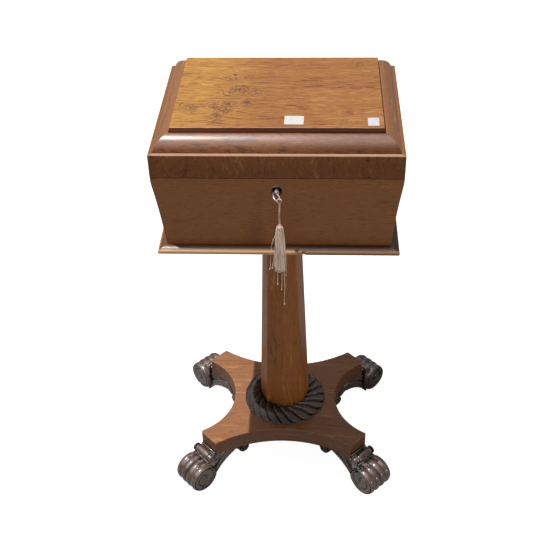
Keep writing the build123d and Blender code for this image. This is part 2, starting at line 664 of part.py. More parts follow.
# ---------------------------------------------------------------- scroll feet
# The back right foot is carved in the upright plane of its arm; the others mirror it.
foot_plane = Plane(origin=(TIP_MID[0], TIP_MID[1], 0), x_dir=(1, 1, 0), z_dir=(1, -1, 0))
across = Vector(1, -1, 0) / sqrt(2)
REEDS = 4
FLUTE_HALF, FLUTE_DEEP = 3.2, 2.8  # the hollows between the reeds
REED_STEP = 2 * FOOT_HALF / REEDS
ROLL_S, ROLL_Z, ROLL_R = 13.0, 71.0, 8.3
ROLL_HALF = 24.3
volute_middle = foot_plane.from_local_coords(Vector(VOLUTE_S, VOLUTE_Z, 0))
barrel_plane = Plane(origin=volute_middle, x_dir=across, z_dir=(-1, -1, 0))

barrel_outline = [(-FOOT_HALF, 0), (-FOOT_HALF, VOLUTE_R)]
for i in range(1, REEDS):
    hollow = -FOOT_HALF + i * REED_STEP
    barrel_outline += [
        (hollow - FLUTE_HALF, VOLUTE_R),
        (hollow, VOLUTE_R - FLUTE_DEEP),
        (hollow + FLUTE_HALF, VOLUTE_R),
    ]
barrel_outline += [(FOOT_HALF, VOLUTE_R), (FOOT_HALF, 0)]

with BuildPart() as scroll_foot:
    # Arm: flat under the platform, arched below, with a small curl at its inner end
    with BuildSketch(foot_plane):
        with BuildLine():
            Line((-87.0, PLATFORM_UNDER), (0.0, PLATFORM_UNDER))
            Line((0.0, PLATFORM_UNDER), (0.0, 78.0))
            Line((0.0, 78.0), (5.0, 78.0))
            Line((5.0, 78.0), (ROLL_S, ROLL_Z))
            Line((ROLL_S, ROLL_Z), (20.0, 62.0))
            Line((20.0, 62.0), (VOLUTE_S, 62.0))
            Line((VOLUTE_S, 62.0), (SOLE_OUT, 0.0))
            Line((SOLE_OUT, 0.0), (SOLE_IN, 0.0))
            ThreePointArc((SOLE_IN, 0.0), (-9.0, 29.5), (-50.0, 47.5))
            Line((-50.0, 47.5), (CURL_S + CURL_R, CURL_Z + 3.0))
            ThreePointArc(
                (CURL_S + CURL_R, CURL_Z + 3.0), (CURL_S, CURL_Z - CURL_R), (CURL_S - CURL_R, CURL_Z)
            )
            Line((CURL_S - CURL_R, CURL_Z), (-87.0, PLATFORM_UNDER))
        make_face()
    extrude(amount=ARM_HALF, both=True)
    # Volute: a reeded barrel on an axis across the arm
    with BuildSketch(barrel_plane):
        Polygon(*barrel_outline, align=None)
    revolve(axis=Axis(origin=volute_middle, direction=across))
    # Roll across the neck, a little wider than the arm
    roll_middle = foot_plane.from_local_coords(Vector(ROLL_S, ROLL_Z, 0))
    with Locations(Plane(origin=roll_middle, z_dir=across)):
        Cylinder(ROLL_R, 2 * ROLL_HALF)
    add(foot_tenons.part, mode=Mode.SUBTRACT)
    add(platform.part, mode=Mode.SUBTRACT)
finish(scroll_foot, "scroll_foot_back_right")
for name, mirror_planes in (
    ("front_right", [Plane.XZ]),
    ("back_left", [Plane.YZ]),
    ("front_left", [Plane.XZ, Plane.YZ]),
):
    turned = scroll_foot.part
    for mirror_plane in mirror_planes:
        turned = mirror(turned, about=mirror_plane, mode=Mode.PRIVATE)
    with BuildPart() as other_foot:
        add(turned)
    finish(other_foot, f"scroll_foot_{name}")

# ---------------------------------------------------------------- key
BOW_MID_Y = -172.0
BOW_HALF_LONG, BOW_HALF_WIDE = 12.2, 8.5
BOW_WIRE = 2.6
tilt = radians(KEY_TILT)
bow_plane = Plane(
    origin=(0, BOW_MID_Y, KEY_Z), x_dir=(0, -1, 0), z_dir=(cos(tilt), 0, sin(tilt))
)
SHANK_END = BACK_PLATE_Y + 1.5
SHOULDER_Y = -158.6
with BuildPart() as key:
    with BuildSketch(bow_plane.offset(-BOW_WIRE / 2)):
        Ellipse(BOW_HALF_LONG, BOW_HALF_WIDE)
        Ellipse(BOW_HALF_LONG - BOW_WIRE - 0.2, BOW_HALF_WIDE - BOW_WIRE - 0.2, mode=Mode.SUBTRACT)
    extrude(amount=BOW_WIRE)
    shank_front = BOW_MID_Y + BOW_HALF_LONG - 1.5
    with BuildSketch(Plane(origin=(0, shank_front, KEY_Z), z_dir=(0, 1, 0))):
        Circle(SHANK_R)
    extrude(amount=SHANK_END - shank_front)
    with BuildSketch(Plane(origin=(0, SHOULDER_Y, KEY_Z), z_dir=(0, 1, 0))):
        Circle(SHANK_R + 1.4)
    extrude(amount=2.4)
    # Bit, in the plane of the bow, pointing up to the left
    bit_low, bit_high = LOCK_FRONT_Y + LOCK_CASE_WALL + 0.4, BACK_PLATE_Y - 0.5
    bit_plane = Plane(origin=(0, bit_low, KEY_Z), x_dir=(-sin(tilt), 0, cos(tilt)), z_dir=(0, 1, 0))
    with BuildSketch(bit_plane):
        with Locations((BIT_R / 2, 0)):
            Rectangle(BIT_R, 2.0)
    extrude(amount=bit_high - bit_low)
finish(key, "key")

# ---------------------------------------------------------------- tassel
LOOP_R, CORD_R = 3.7, 1.1
LOOP_Z = TIE_Z  # the loop hangs on the bow's lower side
KNOT_R, KNOT_HALF = 2.5, 2.0
KNOT_Z = LOOP_Z - LOOP_R - 1.8
with BuildPart() as tassel_loop:
    with BuildSketch(Plane(origin=(TIE_X, TIE_Y, LOOP_Z), x_dir=(1, 0, 0), z_dir=(0, 1, 0))):
        Circle(LOOP_R + CORD_R)
        Circle(LOOP_R - CORD_R, mode=Mode.SUBTRACT)
    extrude(amount=CORD_R, both=True)
    with Locations((TIE_X, TIE_Y, KNOT_Z)):
        Cylinder(KNOT_R, 2 * KNOT_HALF)
finish(tassel_loop, "tassel_loop")

CORD_TOP = KNOT_Z - KNOT_HALF - 1.4  # the cord swings about its top end, clear of the knot
HEAD_TOP = 672.0
SKIRT_TOP = 660.0
SKIRT_END = 577.0
HANG_CORD_R = 1.3
with BuildPart() as tassel_cord:
    with BuildSketch(Plane.XY.offset(HEAD_TOP)):
        with Locations((TIE_X, TIE_Y)):
            Circle(HANG_CORD_R)
    extrude(amount=CORD_TOP - HEAD_TOP)
finish(tassel_cord, "tassel_cord")

# Head, neck and skirt, twelve-sided
TASSEL_LEVELS = (
    (HEAD_TOP, HANG_CORD_R + 0.6),
    (HEAD_TOP - 4.5, 5.8),
    (SKIRT_TOP, 4.8),
    (SKIRT_END, 8.6),
)
with BuildPart() as tassel:
    for level, radius in TASSEL_LEVELS:
        with BuildSketch(Plane.XY.offset(level)):
            with Locations((TIE_X, TIE_Y)):
                RegularPolygon(radius, 12)
    loft(ruled=True)
finish(tassel, "tassel")

# ---------------------------------------------------------------- export
for piece in PARTS:
    export_step(piece.part, f"parts/{piece.part.label}.step")
print(len(PARTS), "pieces written")
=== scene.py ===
"""Teapoy: the visible pieces, finishes and studio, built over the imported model's bodies."""

from math import atan2, cos, floor, pi, radians, sin, sqrt, tan
from random import Random

import bmesh
import bpy
from mathutils import Matrix, Vector


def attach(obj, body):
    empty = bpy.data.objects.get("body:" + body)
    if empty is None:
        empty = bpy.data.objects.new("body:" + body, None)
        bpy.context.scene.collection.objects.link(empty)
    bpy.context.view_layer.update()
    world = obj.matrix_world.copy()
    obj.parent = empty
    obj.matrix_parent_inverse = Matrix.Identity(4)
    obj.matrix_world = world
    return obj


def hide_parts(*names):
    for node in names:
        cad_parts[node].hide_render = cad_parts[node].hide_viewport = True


bl_info = {
    "name": "Teapoy",
    "version": (1, 0, 0),
    "blender": (4, 5, 0),
    "location": "View3D > Sidebar > Teapoy",
    "description": "Builds a rosewood teapoy with its lock, tassel and fittings",
    "category": "Object",
}

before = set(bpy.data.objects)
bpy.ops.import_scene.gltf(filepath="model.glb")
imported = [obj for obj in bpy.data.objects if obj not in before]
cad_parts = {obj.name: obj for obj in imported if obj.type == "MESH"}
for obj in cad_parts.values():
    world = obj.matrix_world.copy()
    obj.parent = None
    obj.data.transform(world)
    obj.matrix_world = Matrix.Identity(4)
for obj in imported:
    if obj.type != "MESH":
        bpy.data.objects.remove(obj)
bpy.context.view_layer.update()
MM = 0.001

# ---------------------------------------------------------------- sizes in millimetres
WIDTH_LESS_DEPTH = 44.2
PLATFORM_UNDER, PLATFORM_TOP = 68.0, 104.0
BEARER_UNDER, BASE_UNDER, CASE_UNDER = 578.0, 596.0, 607.0
JOINT, LID_SHOULDER, CUSHION_TOP, TOP = 745.5, 787.0, 810.0, 818.0
HALF_TOP, HALF_FOOT, HALF_BASE = 200.8, 187.0, 201.6
HALF_CUSHION, HALF_PANEL, HALF_INSIDE = 194.4, 167.8, 175.0
COLUMN_HEAD_R, COLUMN_FOOT_R = 34.4, 50.9
KEY_Z = 721.0
# The front leans a little at the keyhole; this places a form drawn along its own upright axis
FRONT_LEAN = 6.8
KEYHOLE = Matrix.Translation((0.0, -154.35 * MM, KEY_Z * MM)) @ Matrix.Rotation(radians(90 + FRONT_LEAN), 4, "X")
CHIP = (42.5 * MM, -159.2 * MM, 600.0 * MM)
TIE_X, TIE_Y, TIE_Z = 4.6, -176.0, 716.4  # where the tassel's loop hangs on the key
FOOT_X, FOOT_Y = 150.4, 121.9  # middle of the platform's cut tip, where a foot starts

STAND = "stand_and_case"  # the body that everything fixed rides on


# ---------------------------------------------------------------- settings shown to the user
def colour(name, about, code):
    """A colour setting with its default written as a hex code."""
    return bpy.props.FloatVectorProperty(
        name=name, description=about, subtype="COLOR", size=3, min=0, max=1, default=srgb(code)
    )


def length(name, about, metres):
    return bpy.props.FloatProperty(
        name=name, description=about, default=metres, min=0, subtype="DISTANCE", unit="LENGTH"
    )


def srgb(code):
    """An sRGB hex code as linear red, green and blue."""
    parts = [int(code[i : i + 2], 16) / 255 for i in (0, 2, 4)]
    return tuple(c / 12.92 if c <= 0.04045 else ((c + 0.055) / 1.055) ** 2.4 for c in parts)


class TeapoyWoodSettings(bpy.types.PropertyGroup):
    panel_pale: colour("Panel, pale", "Palest streaks of the raised top panel", "EEBC64")
    panel_mid: colour("Panel, middle", "Main colour of the raised top panel", "CE9040")
    panel_dark: colour("Panel, dark", "Dark figure of the raised top panel", "7A4630")
    case_pale: colour("Case, pale", "Palest streaks of the case sides and the inside", "BC8250")
    case_mid: colour("Case, middle", "Main colour of the case sides and the inside", "A3693A")
    case_dark: colour("Case, dark", "Dark lines of the case sides and the inside", "5C3A22")
    moulding_pale: colour("Moulding, pale", "Palest streaks of the lid sides and the front cushion moulding", "A87444")
    moulding_mid: colour("Moulding, middle", "Main colour of the lid sides and the front cushion moulding", "8A5228")
    moulding_dark: colour("Moulding, dark", "Dark lines of the lid sides and the front cushion moulding", "4A2A18")
    base_pale: colour("Platform, pale", "Palest streaks of the platform and the other mouldings", "E4AE72")
    base_mid: colour("Platform, middle", "Main colour of the platform and the other mouldings", "A6704A")
    base_dark: colour("Platform, dark", "Dark lines of the platform and the other mouldings", "6C452C")
    pillar_pale: colour("Pillar, pale", "Palest streaks of the pillar", "D29048")
    pillar_mid: colour("Pillar, middle", "Main colour of the pillar", "A8642C")
    pillar_dark: colour("Pillar, dark", "Dark lines of the pillar", "70421F")


class TeapoyCarvingSettings(bpy.types.PropertyGroup):
    # The hollows' colour is dirt and polish, and painted shade as well: the carving's shader lays it where ambient
    # occlusion finds the surface closed in
    hollow: colour("Hollows", "Stain that stays in the carving's hollows", "0E0A08")
    crest: colour("Crests", "Crests of the carving, rubbed paler", "826456")
    collar: colour("Collar", "Crests of the collar's lobes", "4A3830")
    lobes: bpy.props.IntProperty(
        name="Collar lobes", description="Lobes of the twisted collar", default=22, min=8, max=40
    )
    groove: length("Collar groove", "Depth of the grooves between the lobes", 0.0050)


class TeapoySilkSettings(bpy.types.PropertyGroup):
    silk: colour("Silk", "Faded silk of the cord and tassel", "F8E6D2")
    # The soiled colour also serves as painted shade in the gaps between threads
    shade: colour("Silk, soiled", "Silk where it is soiled", "A8866A")
    threads: bpy.props.IntProperty(
        name="Threads", description="Threads in the tassel's skirt", default=170, min=20, max=400
    )


class TeapoyStageSettings(bpy.types.PropertyGroup):
    sun: bpy.props.FloatProperty(
        name="Overhead lamp", description="Strength of the small lamp overhead", default=2.7, min=0
    )
    fill: bpy.props.FloatProperty(
        name="Room light", description="Strength of the light from all sides", default=0.09, min=0
    )


# ---------------------------------------------------------------- materials
class Shading:
    """A node tree, emptied. Its methods add a node and give back the output that is wanted; every
    input may be a plain value or another node's output."""

    def __init__(self, tree):
        tree.nodes.clear()
        self.tree = tree

    def add(self, kind, settings=None):
        """Adds a node and gives back the node. The settings name its attributes or its inputs."""
        node = self.tree.nodes.new(kind)
        for key, value in (settings or {}).items():
            if isinstance(value, bpy.types.NodeSocket):
                self.tree.links.new(value, node.inputs[key])
            elif isinstance(key, str) and hasattr(node, key):
                setattr(node, key, value)
            else:
                node.inputs[key].default_value = value
        return node

    def here(self):
        return self.add("ShaderNodeTexCoord").outputs["Object"]

    def axis(self, place, name):
        return self.add("ShaderNodeSeparateXYZ", {0: place}).outputs[name]

    def noise(self, place, scale, detail, rough=0.5, twist=0.0, out="Fac"):
        settings = {"Vector": place, "Scale": scale, "Detail": detail, "Roughness": rough, "Distortion": twist}
        return self.add("ShaderNodeTexNoise", settings).outputs[out]

    def fibres(self, place, grain, along, across, detail, rough=0.5, twist=0.0):
        """Noise drawn out along the fibres; along and across are in cycles per metre."""
        scale = [across] * 3
        scale["XYZ".index(grain)] = along
        drawn = self.add("ShaderNodeMapping", {"Vector": place, "Scale": tuple(scale)}).outputs["Vector"]
        return self.noise(drawn, 1.0, detail, rough, twist)

    def math(self, operation, *values, clamp=False):
        settings = {"operation": operation, "use_clamp": clamp, **dict(enumerate(values))}
        return self.add("ShaderNodeMath", settings).outputs[0]

    def scaled(self, vector, scale):
        return self.add("ShaderNodeVectorMath", {"operation": "SCALE", 0: vector, "Scale": scale}).outputs[0]

    def moved(self, place, by):
        return self.add("ShaderNodeVectorMath", {"operation": "ADD", 0: place, 1: by}).outputs[0]

    def span(self, value, start, end, low=0.0, high=1.0, kind="LINEAR"):
        """Maps a value's range from start to end onto low to high, and clamps it."""
        settings = {"interpolation_type": kind, "Value": value, "From Min": start, "From Max": end}
        return self.add("ShaderNodeMapRange", {**settings, "To Min": low, "To Max": high}).outputs[0]

    def mix(self, share, first, second):
        """A number between two others."""
        return self.add("ShaderNodeMix", {"data_type": "FLOAT", 0: share, 2: first, 3: second}).outputs[0]

    def blend(self, share, under, over, way="MIX"):
        """A colour laid over another."""
        under, over = (c if isinstance(c, bpy.types.NodeSocket) else (*c, 1) for c in (under, over))
        settings = {"data_type": "RGBA", "blend_type": way, 0: share, 6: under, 7: over}
        return self.add("ShaderNodeMix", settings).outputs[2]

    def ramp(self, value, *stops):
        """A ramp from a value to colours; each stop is a position with a linear colour or a grey."""
        node = self.add("ShaderNodeValToRGB", {"Fac": value})
        elements = node.color_ramp.elements
        tones = [(*(tone if isinstance(tone, tuple) else (tone,) * 3), 1) for _, tone in stops]
        elements[0].position, elements[1].position = stops[0][0], stops[-1][0]
        elements[0].color, elements[1].color = tones[0], tones[-1]
        for (position, _), tone in list(zip(stops, tones))[1:-1]:
            elements.new(position).color = tone
        return node.outputs["Color"]

    def bump(self, height, strength, distance):
        settings = {"Strength": strength, "Distance": distance, "Height": height}
        return self.add("ShaderNodeBump", settings).outputs["Normal"]

    def surface(self, inputs):
        """The surface's shader, and the output that it feeds."""
        shader = self.add("ShaderNodeBsdfPrincipled", inputs)
        self.add("ShaderNodeOutputMaterial", {"Surface": shader.outputs["BSDF"]})


def new_material(name):
    material = bpy.data.materials.new(name)
    material.use_nodes = True
    return material, Shading(material.node_tree)


def shellac(shine, coat, rough):
    """Shader inputs of French polish: a thin coat over the wood."""
    return {"IOR": 1.5, "Specular IOR Level": shine, "Coat Weight": coat, "Coat Roughness": rough}


def french_polished(
    name, grain, tones, swirl=0.0, spots=(), fine=(9.0, 170.0), contrast=1.0, gloss=0.3, shine=0.3,
    darker_rightward=None, painted_shade_band=None, worn=None, bare_and_highlight_tone=None, vein=None,
):
    """Rosewood veneer, scraped flat and French polished: streaks 2 to 25 mm wide run with the
    fibres, dark pores show as short dashes, and thin shellac gives a soft, deep gloss."""
    material, t = new_material(name)
    pale, mid, dark = tones
    here = t.here()
    # Slow waver of the fibres, about 60 mm long and up to 3 mm aside
    bent = t.moved(here, t.scaled(t.noise(here, 11.0, 2.0, out="Color"), 0.014 + swirl))
    burr = None
    for x, y, radius, strength in spots:
        # Burr: soft round places where the fibres curl and darken
        middle = (x * MM, y * MM, TOP * MM)
        away = t.add("ShaderNodeVectorMath", {"operation": "DISTANCE", 0: here, 1: middle}).outputs["Value"]
        near = t.span(away, radius * MM, 0.0, 0.0, strength, kind="SMOOTHSTEP")
        burr = near if burr is None else t.math("MAXIMUM", burr, near)
    if burr is not None:
        curl = t.noise(here, 60.0, 3.0, twist=1.5, out="Color")
        bent = t.moved(bent, t.scaled(curl, t.math("MULTIPLY", burr, 0.03)))
    zones = t.fibres(bent, grain, 4.0, 30.0, 4.0, 0.55)
    streaks = t.fibres(bent, grain, *fine, 5.0, 0.62)
    pores = t.fibres(bent, grain, 70.0, 900.0, 2.0)
    spread = 0.17 / contrast
    stops = ((0.5 - spread, dark), (0.5 - 0.3 * spread, mid), (0.5 + 0.25 * spread, mid), (0.5 + spread, pale))
    tone = t.ramp(t.mix(0.68, zones, streaks), *stops)
    tone = t.blend(0.75, tone, t.ramp(pores, (0.30, (0.45, 0.42, 0.40)), (0.44, 1.0)), way="MULTIPLY")
    if burr is not None:
        # Veins are the lines where a curling noise crosses its middle value
        curls = t.fibres(here, grain, 80.0, 130.0, 4.0, twist=1.6)
        off = t.math("ABSOLUTE", t.math("SUBTRACT", curls, 0.5))
        line = t.span(off, 0.075, 0.015, 0.0, 1.3)
        tone = t.blend(t.math("MULTIPLY", line, burr, clamp=True), tone, vein)
    height = t.axis(here, "Z")
    for levels, tint in ((painted_shade_band, dark), (worn, bare_and_highlight_tone or pale)):
        if levels:
            # One band of heights is darkened as painted shade: on the panel's and the platform's upright edges, and on
            # the base moulding's top under the case, which has some dirt too. Another band is painted paler: a rubbed
            # edge with a painted highlight.
            start, end, share = levels
            tone = t.blend(t.span(height, start * MM, end * MM, 0.0, share), tone, tint)
    if darker_rightward:
        # Darker toward the right, paler on the left
        start, end, tint = darker_rightward
        share = t.span(t.axis(bent, "X"), start * MM, end * MM, kind="SMOOTHSTEP")
        tone = t.blend(share, tone, tint, way="MULTIPLY")
    t.surface({
        "Base Color": tone,
        "Roughness": t.ramp(zones, (0.3, gloss + 0.12), (0.7, gloss)),
        "Normal": t.bump(pores, 0.25, 0.0003),
        **shellac(shine, 0.3 * shine, 0.16),
    })
    return material


def carved_rosewood(name, hollow, crest, ridge_highlight, shine=0.5, coat=0.4, ridge_highlight_from=None):
    """Rosewood carved in the round and French polished: dark staining and polish gather in the
    hollows, which are also painted darker as shade where ambient occlusion finds them closed in;
    handling has rubbed the crests paler, and the sharpest ridges carry a painted highlight."""
    material, t = new_material(name)
    here = t.here()
    # How open each point is to its surroundings within 9 mm; hollows are closed in, and this lays painted shade in
    # them
    air = t.add("ShaderNodeAmbientOcclusion", {"samples": 8, "Distance": 0.009}).outputs["AO"]
    form = t.add("ShaderNodeNewGeometry").outputs["Pointiness"]
    clear = t.span(air, 0.52, 0.94)
    mottle = t.noise(here, 90.0, 5.0, 0.6)
    patchy = t.span(mottle, 0.34, 0.66, 0.5, 1.0)
    # Crest colour where the surface is open, most where it is pointed; hollow colour where it is closed in: dirt and
    # rubbing, with painted shade in the hollows
    rubbed = t.math("MULTIPLY", t.mix(t.span(form, 0.47, 0.58), 0.55, clear), clear)
    tone = t.blend(t.math("MULTIPLY", rubbed, patchy, clamp=True), hollow, crest)
    # The sharpest ridges get a pale painted highlight; on the collar it is painted stronger toward the right
    highlight_reach, least = 0.5, 0.0
    if ridge_highlight_from:
        start, end = ridge_highlight_from
        highlight_reach, least = t.span(t.axis(here, "X"), start * MM, end * MM, 0.15, 1.0), 0.4
    ridge_highlight_mask = t.math("MULTIPLY", highlight_reach, t.span(form, 0.525, 0.58, least, 1.0))
    tone = t.blend(t.math("MULTIPLY", ridge_highlight_mask, clear), tone, ridge_highlight)
    t.surface({
        "Base Color": tone,
        "Roughness": t.ramp(mottle, (0.3, 0.20), (0.7, 0.38)),
        "Normal": t.bump(mottle, 0.3, 0.0006),
        **shellac(shine, coat, 0.14),
    })
    return material


def planed_wood(name, grain, pale, dark):
    """Secondary wood, planed and left unpolished inside or under the case: dull, with plain streaks."""
    material, t = new_material(name)
    streaks = t.fibres(t.here(), grain, 7.0, 140.0, 5.0)
    tone = t.ramp(streaks, (0.36, dark), (0.64, pale))
    t.surface({"Base Color": tone, "Roughness": 0.7, "Normal": t.bump(streaks, 0.3, 0.0004)})
    return material


def old_metal(name, bright, dull, rough):
    """Metal that has been polished, handled and left: bright on top, dull in patches about 4 mm across."""
    material, t = new_material(name)
    patches = t.noise(t.here(), 260.0, 4.0, 0.65)
    t.surface({
        "Base Color": t.ramp(patches, (0.38, dull), (0.6, bright)),
        "Roughness": t.ramp(patches, (0.35, rough + 0.2), (0.65, rough)),
        "Metallic": 1.0,
    })
    return material


def cut_glass(name):
    """Lead crystal, blown and cut: clear, with a high index that gives the facets their sparkle."""
    material, t = new_material(name)
    facets = t.add("ShaderNodeTexVoronoi", {"Scale": 110.0, "feature": "F1", "Vector": t.here()})
    t.surface({
        "Base Color": (*srgb("F4F7F6"), 1),
        "Roughness": 0.03,
        "IOR": 1.55,
        "Transmission Weight": 0.95,
        "Normal": t.bump(facets.outputs["Distance"], 0.5, 0.0012),
    })
    return material


def spun_silk(name, silk, shade):
    """Floss silk: loosely twisted filaments with a soft sheen, yellowed and soiled in patches; the
    darker streaks along the filaments are also painted shade in the gaps between them.
    """
    material, t = new_material(name)
    here = t.here()
    soil_and_gap_shade = t.fibres(here, "Z", 14.0, 380.0, 3.0)
    filaments = t.fibres(here, "Z", 60.0, 1500.0, 2.0)
    tone = t.ramp(t.mix(0.5, soil_and_gap_shade, filaments), (0.42, shade), (0.56, silk))
    # A little glow stands for the light that the loose floss passes on from strand to strand
    t.surface({
        "Base Color": tone, "Roughness": 0.5, "Sheen Weight": 0.3, "Emission Color": tone, "Emission Strength": 0.12,
    })
    return material


def matt_paper(name, tint):
    """Coated label paper, die cut: white, smooth and nearly matt, a little grubby."""
    material, t = new_material(name)
    grubby = tuple(0.86 * c for c in tint)
    tone = t.ramp(t.noise(t.here(), 160.0, 3.0), (0.3, grubby), (0.6, tint))
    t.surface({"Base Color": tone, "Roughness": 0.55})
    return material


def painted_shade_keyhole(name):
    """Unfinished wood inside a keyhole, painted near black as painted shade, since hardly any light comes back from
    there.
    """
    material, t = new_material(name)
    tone = t.ramp(t.noise(t.here(), 400.0, 3.0), (0.3, srgb("0C0705")), (0.7, srgb("20130D")))
    t.surface({"Base Color": tone, "Roughness": 0.85})
    return material


FINISHES = {}


def finish(name, build, *parts, **options):
    """A finish is built once and shared by the pieces that have it."""
    if name not in FINISHES:
        FINISHES[name] = build(name, *parts, **options)
    return FINISHES[name]


# Burr in the panel: x and y of each soft place, its radius and its strength
PANEL_BURR = [
    (-66.0, 0.0, 24.0, 1.0), (-84.0, -13.0, 18.0, 0.9), (-40.0, -10.0, 18.0, 1.0), (-84.0, 42.0, 20.0, 0.7),
    (-50.0, 44.0, 18.0, 0.6), (-78.0, -49.0, 20.0, 0.9), (-88.0, -66.0, 24.0, 1.0), (-96.0, -84.0, 16.0, 0.9),
    (-106.0, -55.0, 18.0, 0.8), (-50.0, -44.0, 18.0, 0.8), (-144.0, -58.0, 26.0, 0.6), (-136.0, -74.0, 16.0, 0.5),
    (114.0, -75.0, 13.0, 0.7), (40.0, -60.0, 16.0, 0.5), (128.0, 10.0, 14.0, 0.4), (130.0, 96.0, 22.0, 0.6),
]
CROSS_BANDED = dict(swirl=0.03, fine=(70.0, 170.0), contrast=0.9, gloss=0.36, shine=0.2)
LEDGE = LID_SHOULDER - 1.4  # from here up the lid sides are worn

# Each kind of rosewood: which of the colour settings it has, and how it is figured and finished
ROSEWOOD = {
    "panel": ("panel", dict(
        swirl=0.012, spots=PANEL_BURR, vein=srgb("5E3038"), fine=(30.0, 320.0), contrast=1.35, gloss=0.34, shine=0.5,
        # Below its top the panel is darkened: painted shade on its upright edges
        darker_rightward=(-120.0, 10.0, (0.70, 0.58, 0.64)), painted_shade_band=(TOP - 0.3, TOP - 1.1, 1.0),
    )),
    "case": ("case", dict(fine=(18.0, 260.0), contrast=0.65, gloss=0.36, shine=0.2)),
    # The top edge of the lid's upright sides is painted paler: rubbed wear with a painted highlight, palest at the
    # front
    "frieze": ("moulding", dict(worn=(LEDGE, LID_SHOULDER, 0.8), bare_and_highlight_tone=srgb("D0AC92"), **CROSS_BANDED)),
    "ledge": ("moulding", dict(worn=(LEDGE, LID_SHOULDER, 0.5), **CROSS_BANDED)),
    "moulding": ("moulding", dict(
        swirl=0.03, fine=(50.0, 240.0), contrast=1.2, gloss=0.22, shine=0.6, darker_rightward=(10.0, 150.0, (0.72, 0.66, 0.55)),
    )),
    "base": ("base", dict(
        # Below the platform's top the colour is darkened: painted shade on its upright sides
        swirl=0.01, fine=(6.0, 110.0), contrast=0.85, gloss=0.36, painted_shade_band=(PLATFORM_TOP - 0.6, PLATFORM_TOP - 1.6, 0.75),
    )),
    "edge": ("base", dict(
        fine=(14.0, 200.0), contrast=0.8, shine=0.4, darker_rightward=(25.0, 65.0, (0.43, 0.38, 0.33)),
        # The flat top under the case is darkened, painted shade with some dirt; the rounded edge below is painted
        # paler, rubbed wear with a painted highlight
        painted_shade_band=(601.8, 603.2, 1.0), worn=(603.2, 601.8, 0.85),
    )),
    "pillar": ("pillar", dict(swirl=0.008, fine=(9.0, 130.0), shine=0.25)),
}


def wood(kind, grain):
    """French polished rosewood of one kind with its fibres along one axis."""
    settings = bpy.context.scene.teapoy_wood
    palette, options = ROSEWOOD[kind]
    tones = [tuple(getattr(settings, f"{palette}_{part}")) for part in ("pale", "mid", "dark")]
    return finish(f"french_polished_rosewood_{kind}_{grain.lower()}", french_polished, grain, tones, **options)


def carved(kind="feet"):
    """Carved rosewood; the collar is darker and duller than the feet, and its painted ridge highlight is stronger on
    its right.
    """
    tones = bpy.context.scene.teapoy_carving
    crest, options = tones.crest, dict(coat=0.7)
    if kind == "collar":
        crest, options = tones.collar, dict(shine=0.24, coat=0.1, ridge_highlight_from=(-10.0, 55.0))
    # The pale third colour is the painted highlight on the sharpest ridges
    parts = (tuple(tones.hollow), tuple(crest), srgb("B09A90"))
    return finish(f"french_polished_rosewood_carved_{kind}", carved_rosewood, *parts, **options)


def mahogany():
    return finish("planed_mahogany_x", planed_wood, "X", srgb("8A5A38"), srgb("5E3A24"))


def brass():
    return finish("old_lacquered_brass", old_metal, srgb("B08D4F"), srgb("6B522C"), 0.32)


def steel():
    return finish("worn_polished_steel", old_metal, srgb("E2DEE2"), srgb("9C98A0"), 0.36)


# ---------------------------------------------------------------- mesh helpers
def new_mesh(name, verts, faces):
    """A mesh whose faces are all turned outward."""
    mesh = bpy.data.meshes.new(name)
    mesh.from_pydata(verts, [], faces)
    mesh.validate()
    bm = bmesh.new()
    bm.from_mesh(mesh)
    bmesh.ops.recalc_face_normals(bm, faces=bm.faces)
    bm.to_mesh(mesh)
    bm.free()
    return mesh


def new_object(name, data):
    made = bpy.data.objects.new(name, data)
    bpy.context.scene.collection.objects.link(made)
    return made


def piece(name, shell, material, body, stands_for=(), sharp=35.0, flat=False):
    """A finished piece from a shell, its points in millimetres and its faces, riding on its body."""
    verts, faces = shell
    mesh = new_mesh(name, [(x * MM, y * MM, z * MM) for x, y, z in verts], faces)
    mesh.polygons.foreach_set("use_smooth", [not flat] * len(mesh.polygons))
    mesh.set_sharp_from_angle(angle=radians(sharp))
    mesh.materials.append(material)
    made = new_object(name, mesh)
    if stands_for:
        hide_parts(*stands_for)
    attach(made, body)
    return made


def paint(material, *nodes):
    """Gives CAD nodes their finish."""
    for node in nodes:
        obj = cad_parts[node]
        if not obj.material_slots:
            obj.data.materials.append(material)
        for slot in obj.material_slots:
            slot.material = material


def turns(count):
    """Even angles round a circle."""
    return [2 * pi * k / count for k in range(count)]


def loft(rings, closed=True, caps=True):
    """Points and faces of a skin through rings of equal count."""
    verts = [p for ring in rings for p in ring]
    count = len(rings[0])
    faces = []
    for r in range(len(rings) - 1):
        for i in range(count if closed else count - 1):
            j = (i + 1) % count
            a, b = r * count, (r + 1) * count
            faces.append((a + i, a + j, b + j, b + i))
    if caps:
        faces.append(tuple(reversed(range(count))))
        faces.append(tuple(range((len(rings) - 1) * count, len(rings) * count)))
    return verts, faces


def looped(rings):
    """A skin through rings whose last runs on into the first."""
    verts, faces = loft(rings + [rings[0]], caps=False)
    total = len(rings) * len(rings[0])
    return verts[:total], [tuple(v % total for v in face) for face in faces]


def stacked(levels):
    """A skin through flat outlines, from (points, height) pairs."""
    return loft([[(x, y, z) for x, y in points] for points, z in levels])


def join(*shells):
    """Several shells as one."""
    verts, faces = [], []
    for shell_verts, shell_faces in shells:
        start = len(verts)
        verts += shell_verts
        faces += [tuple(start + v for v in face) for face in shell_faces]
    return verts, faces


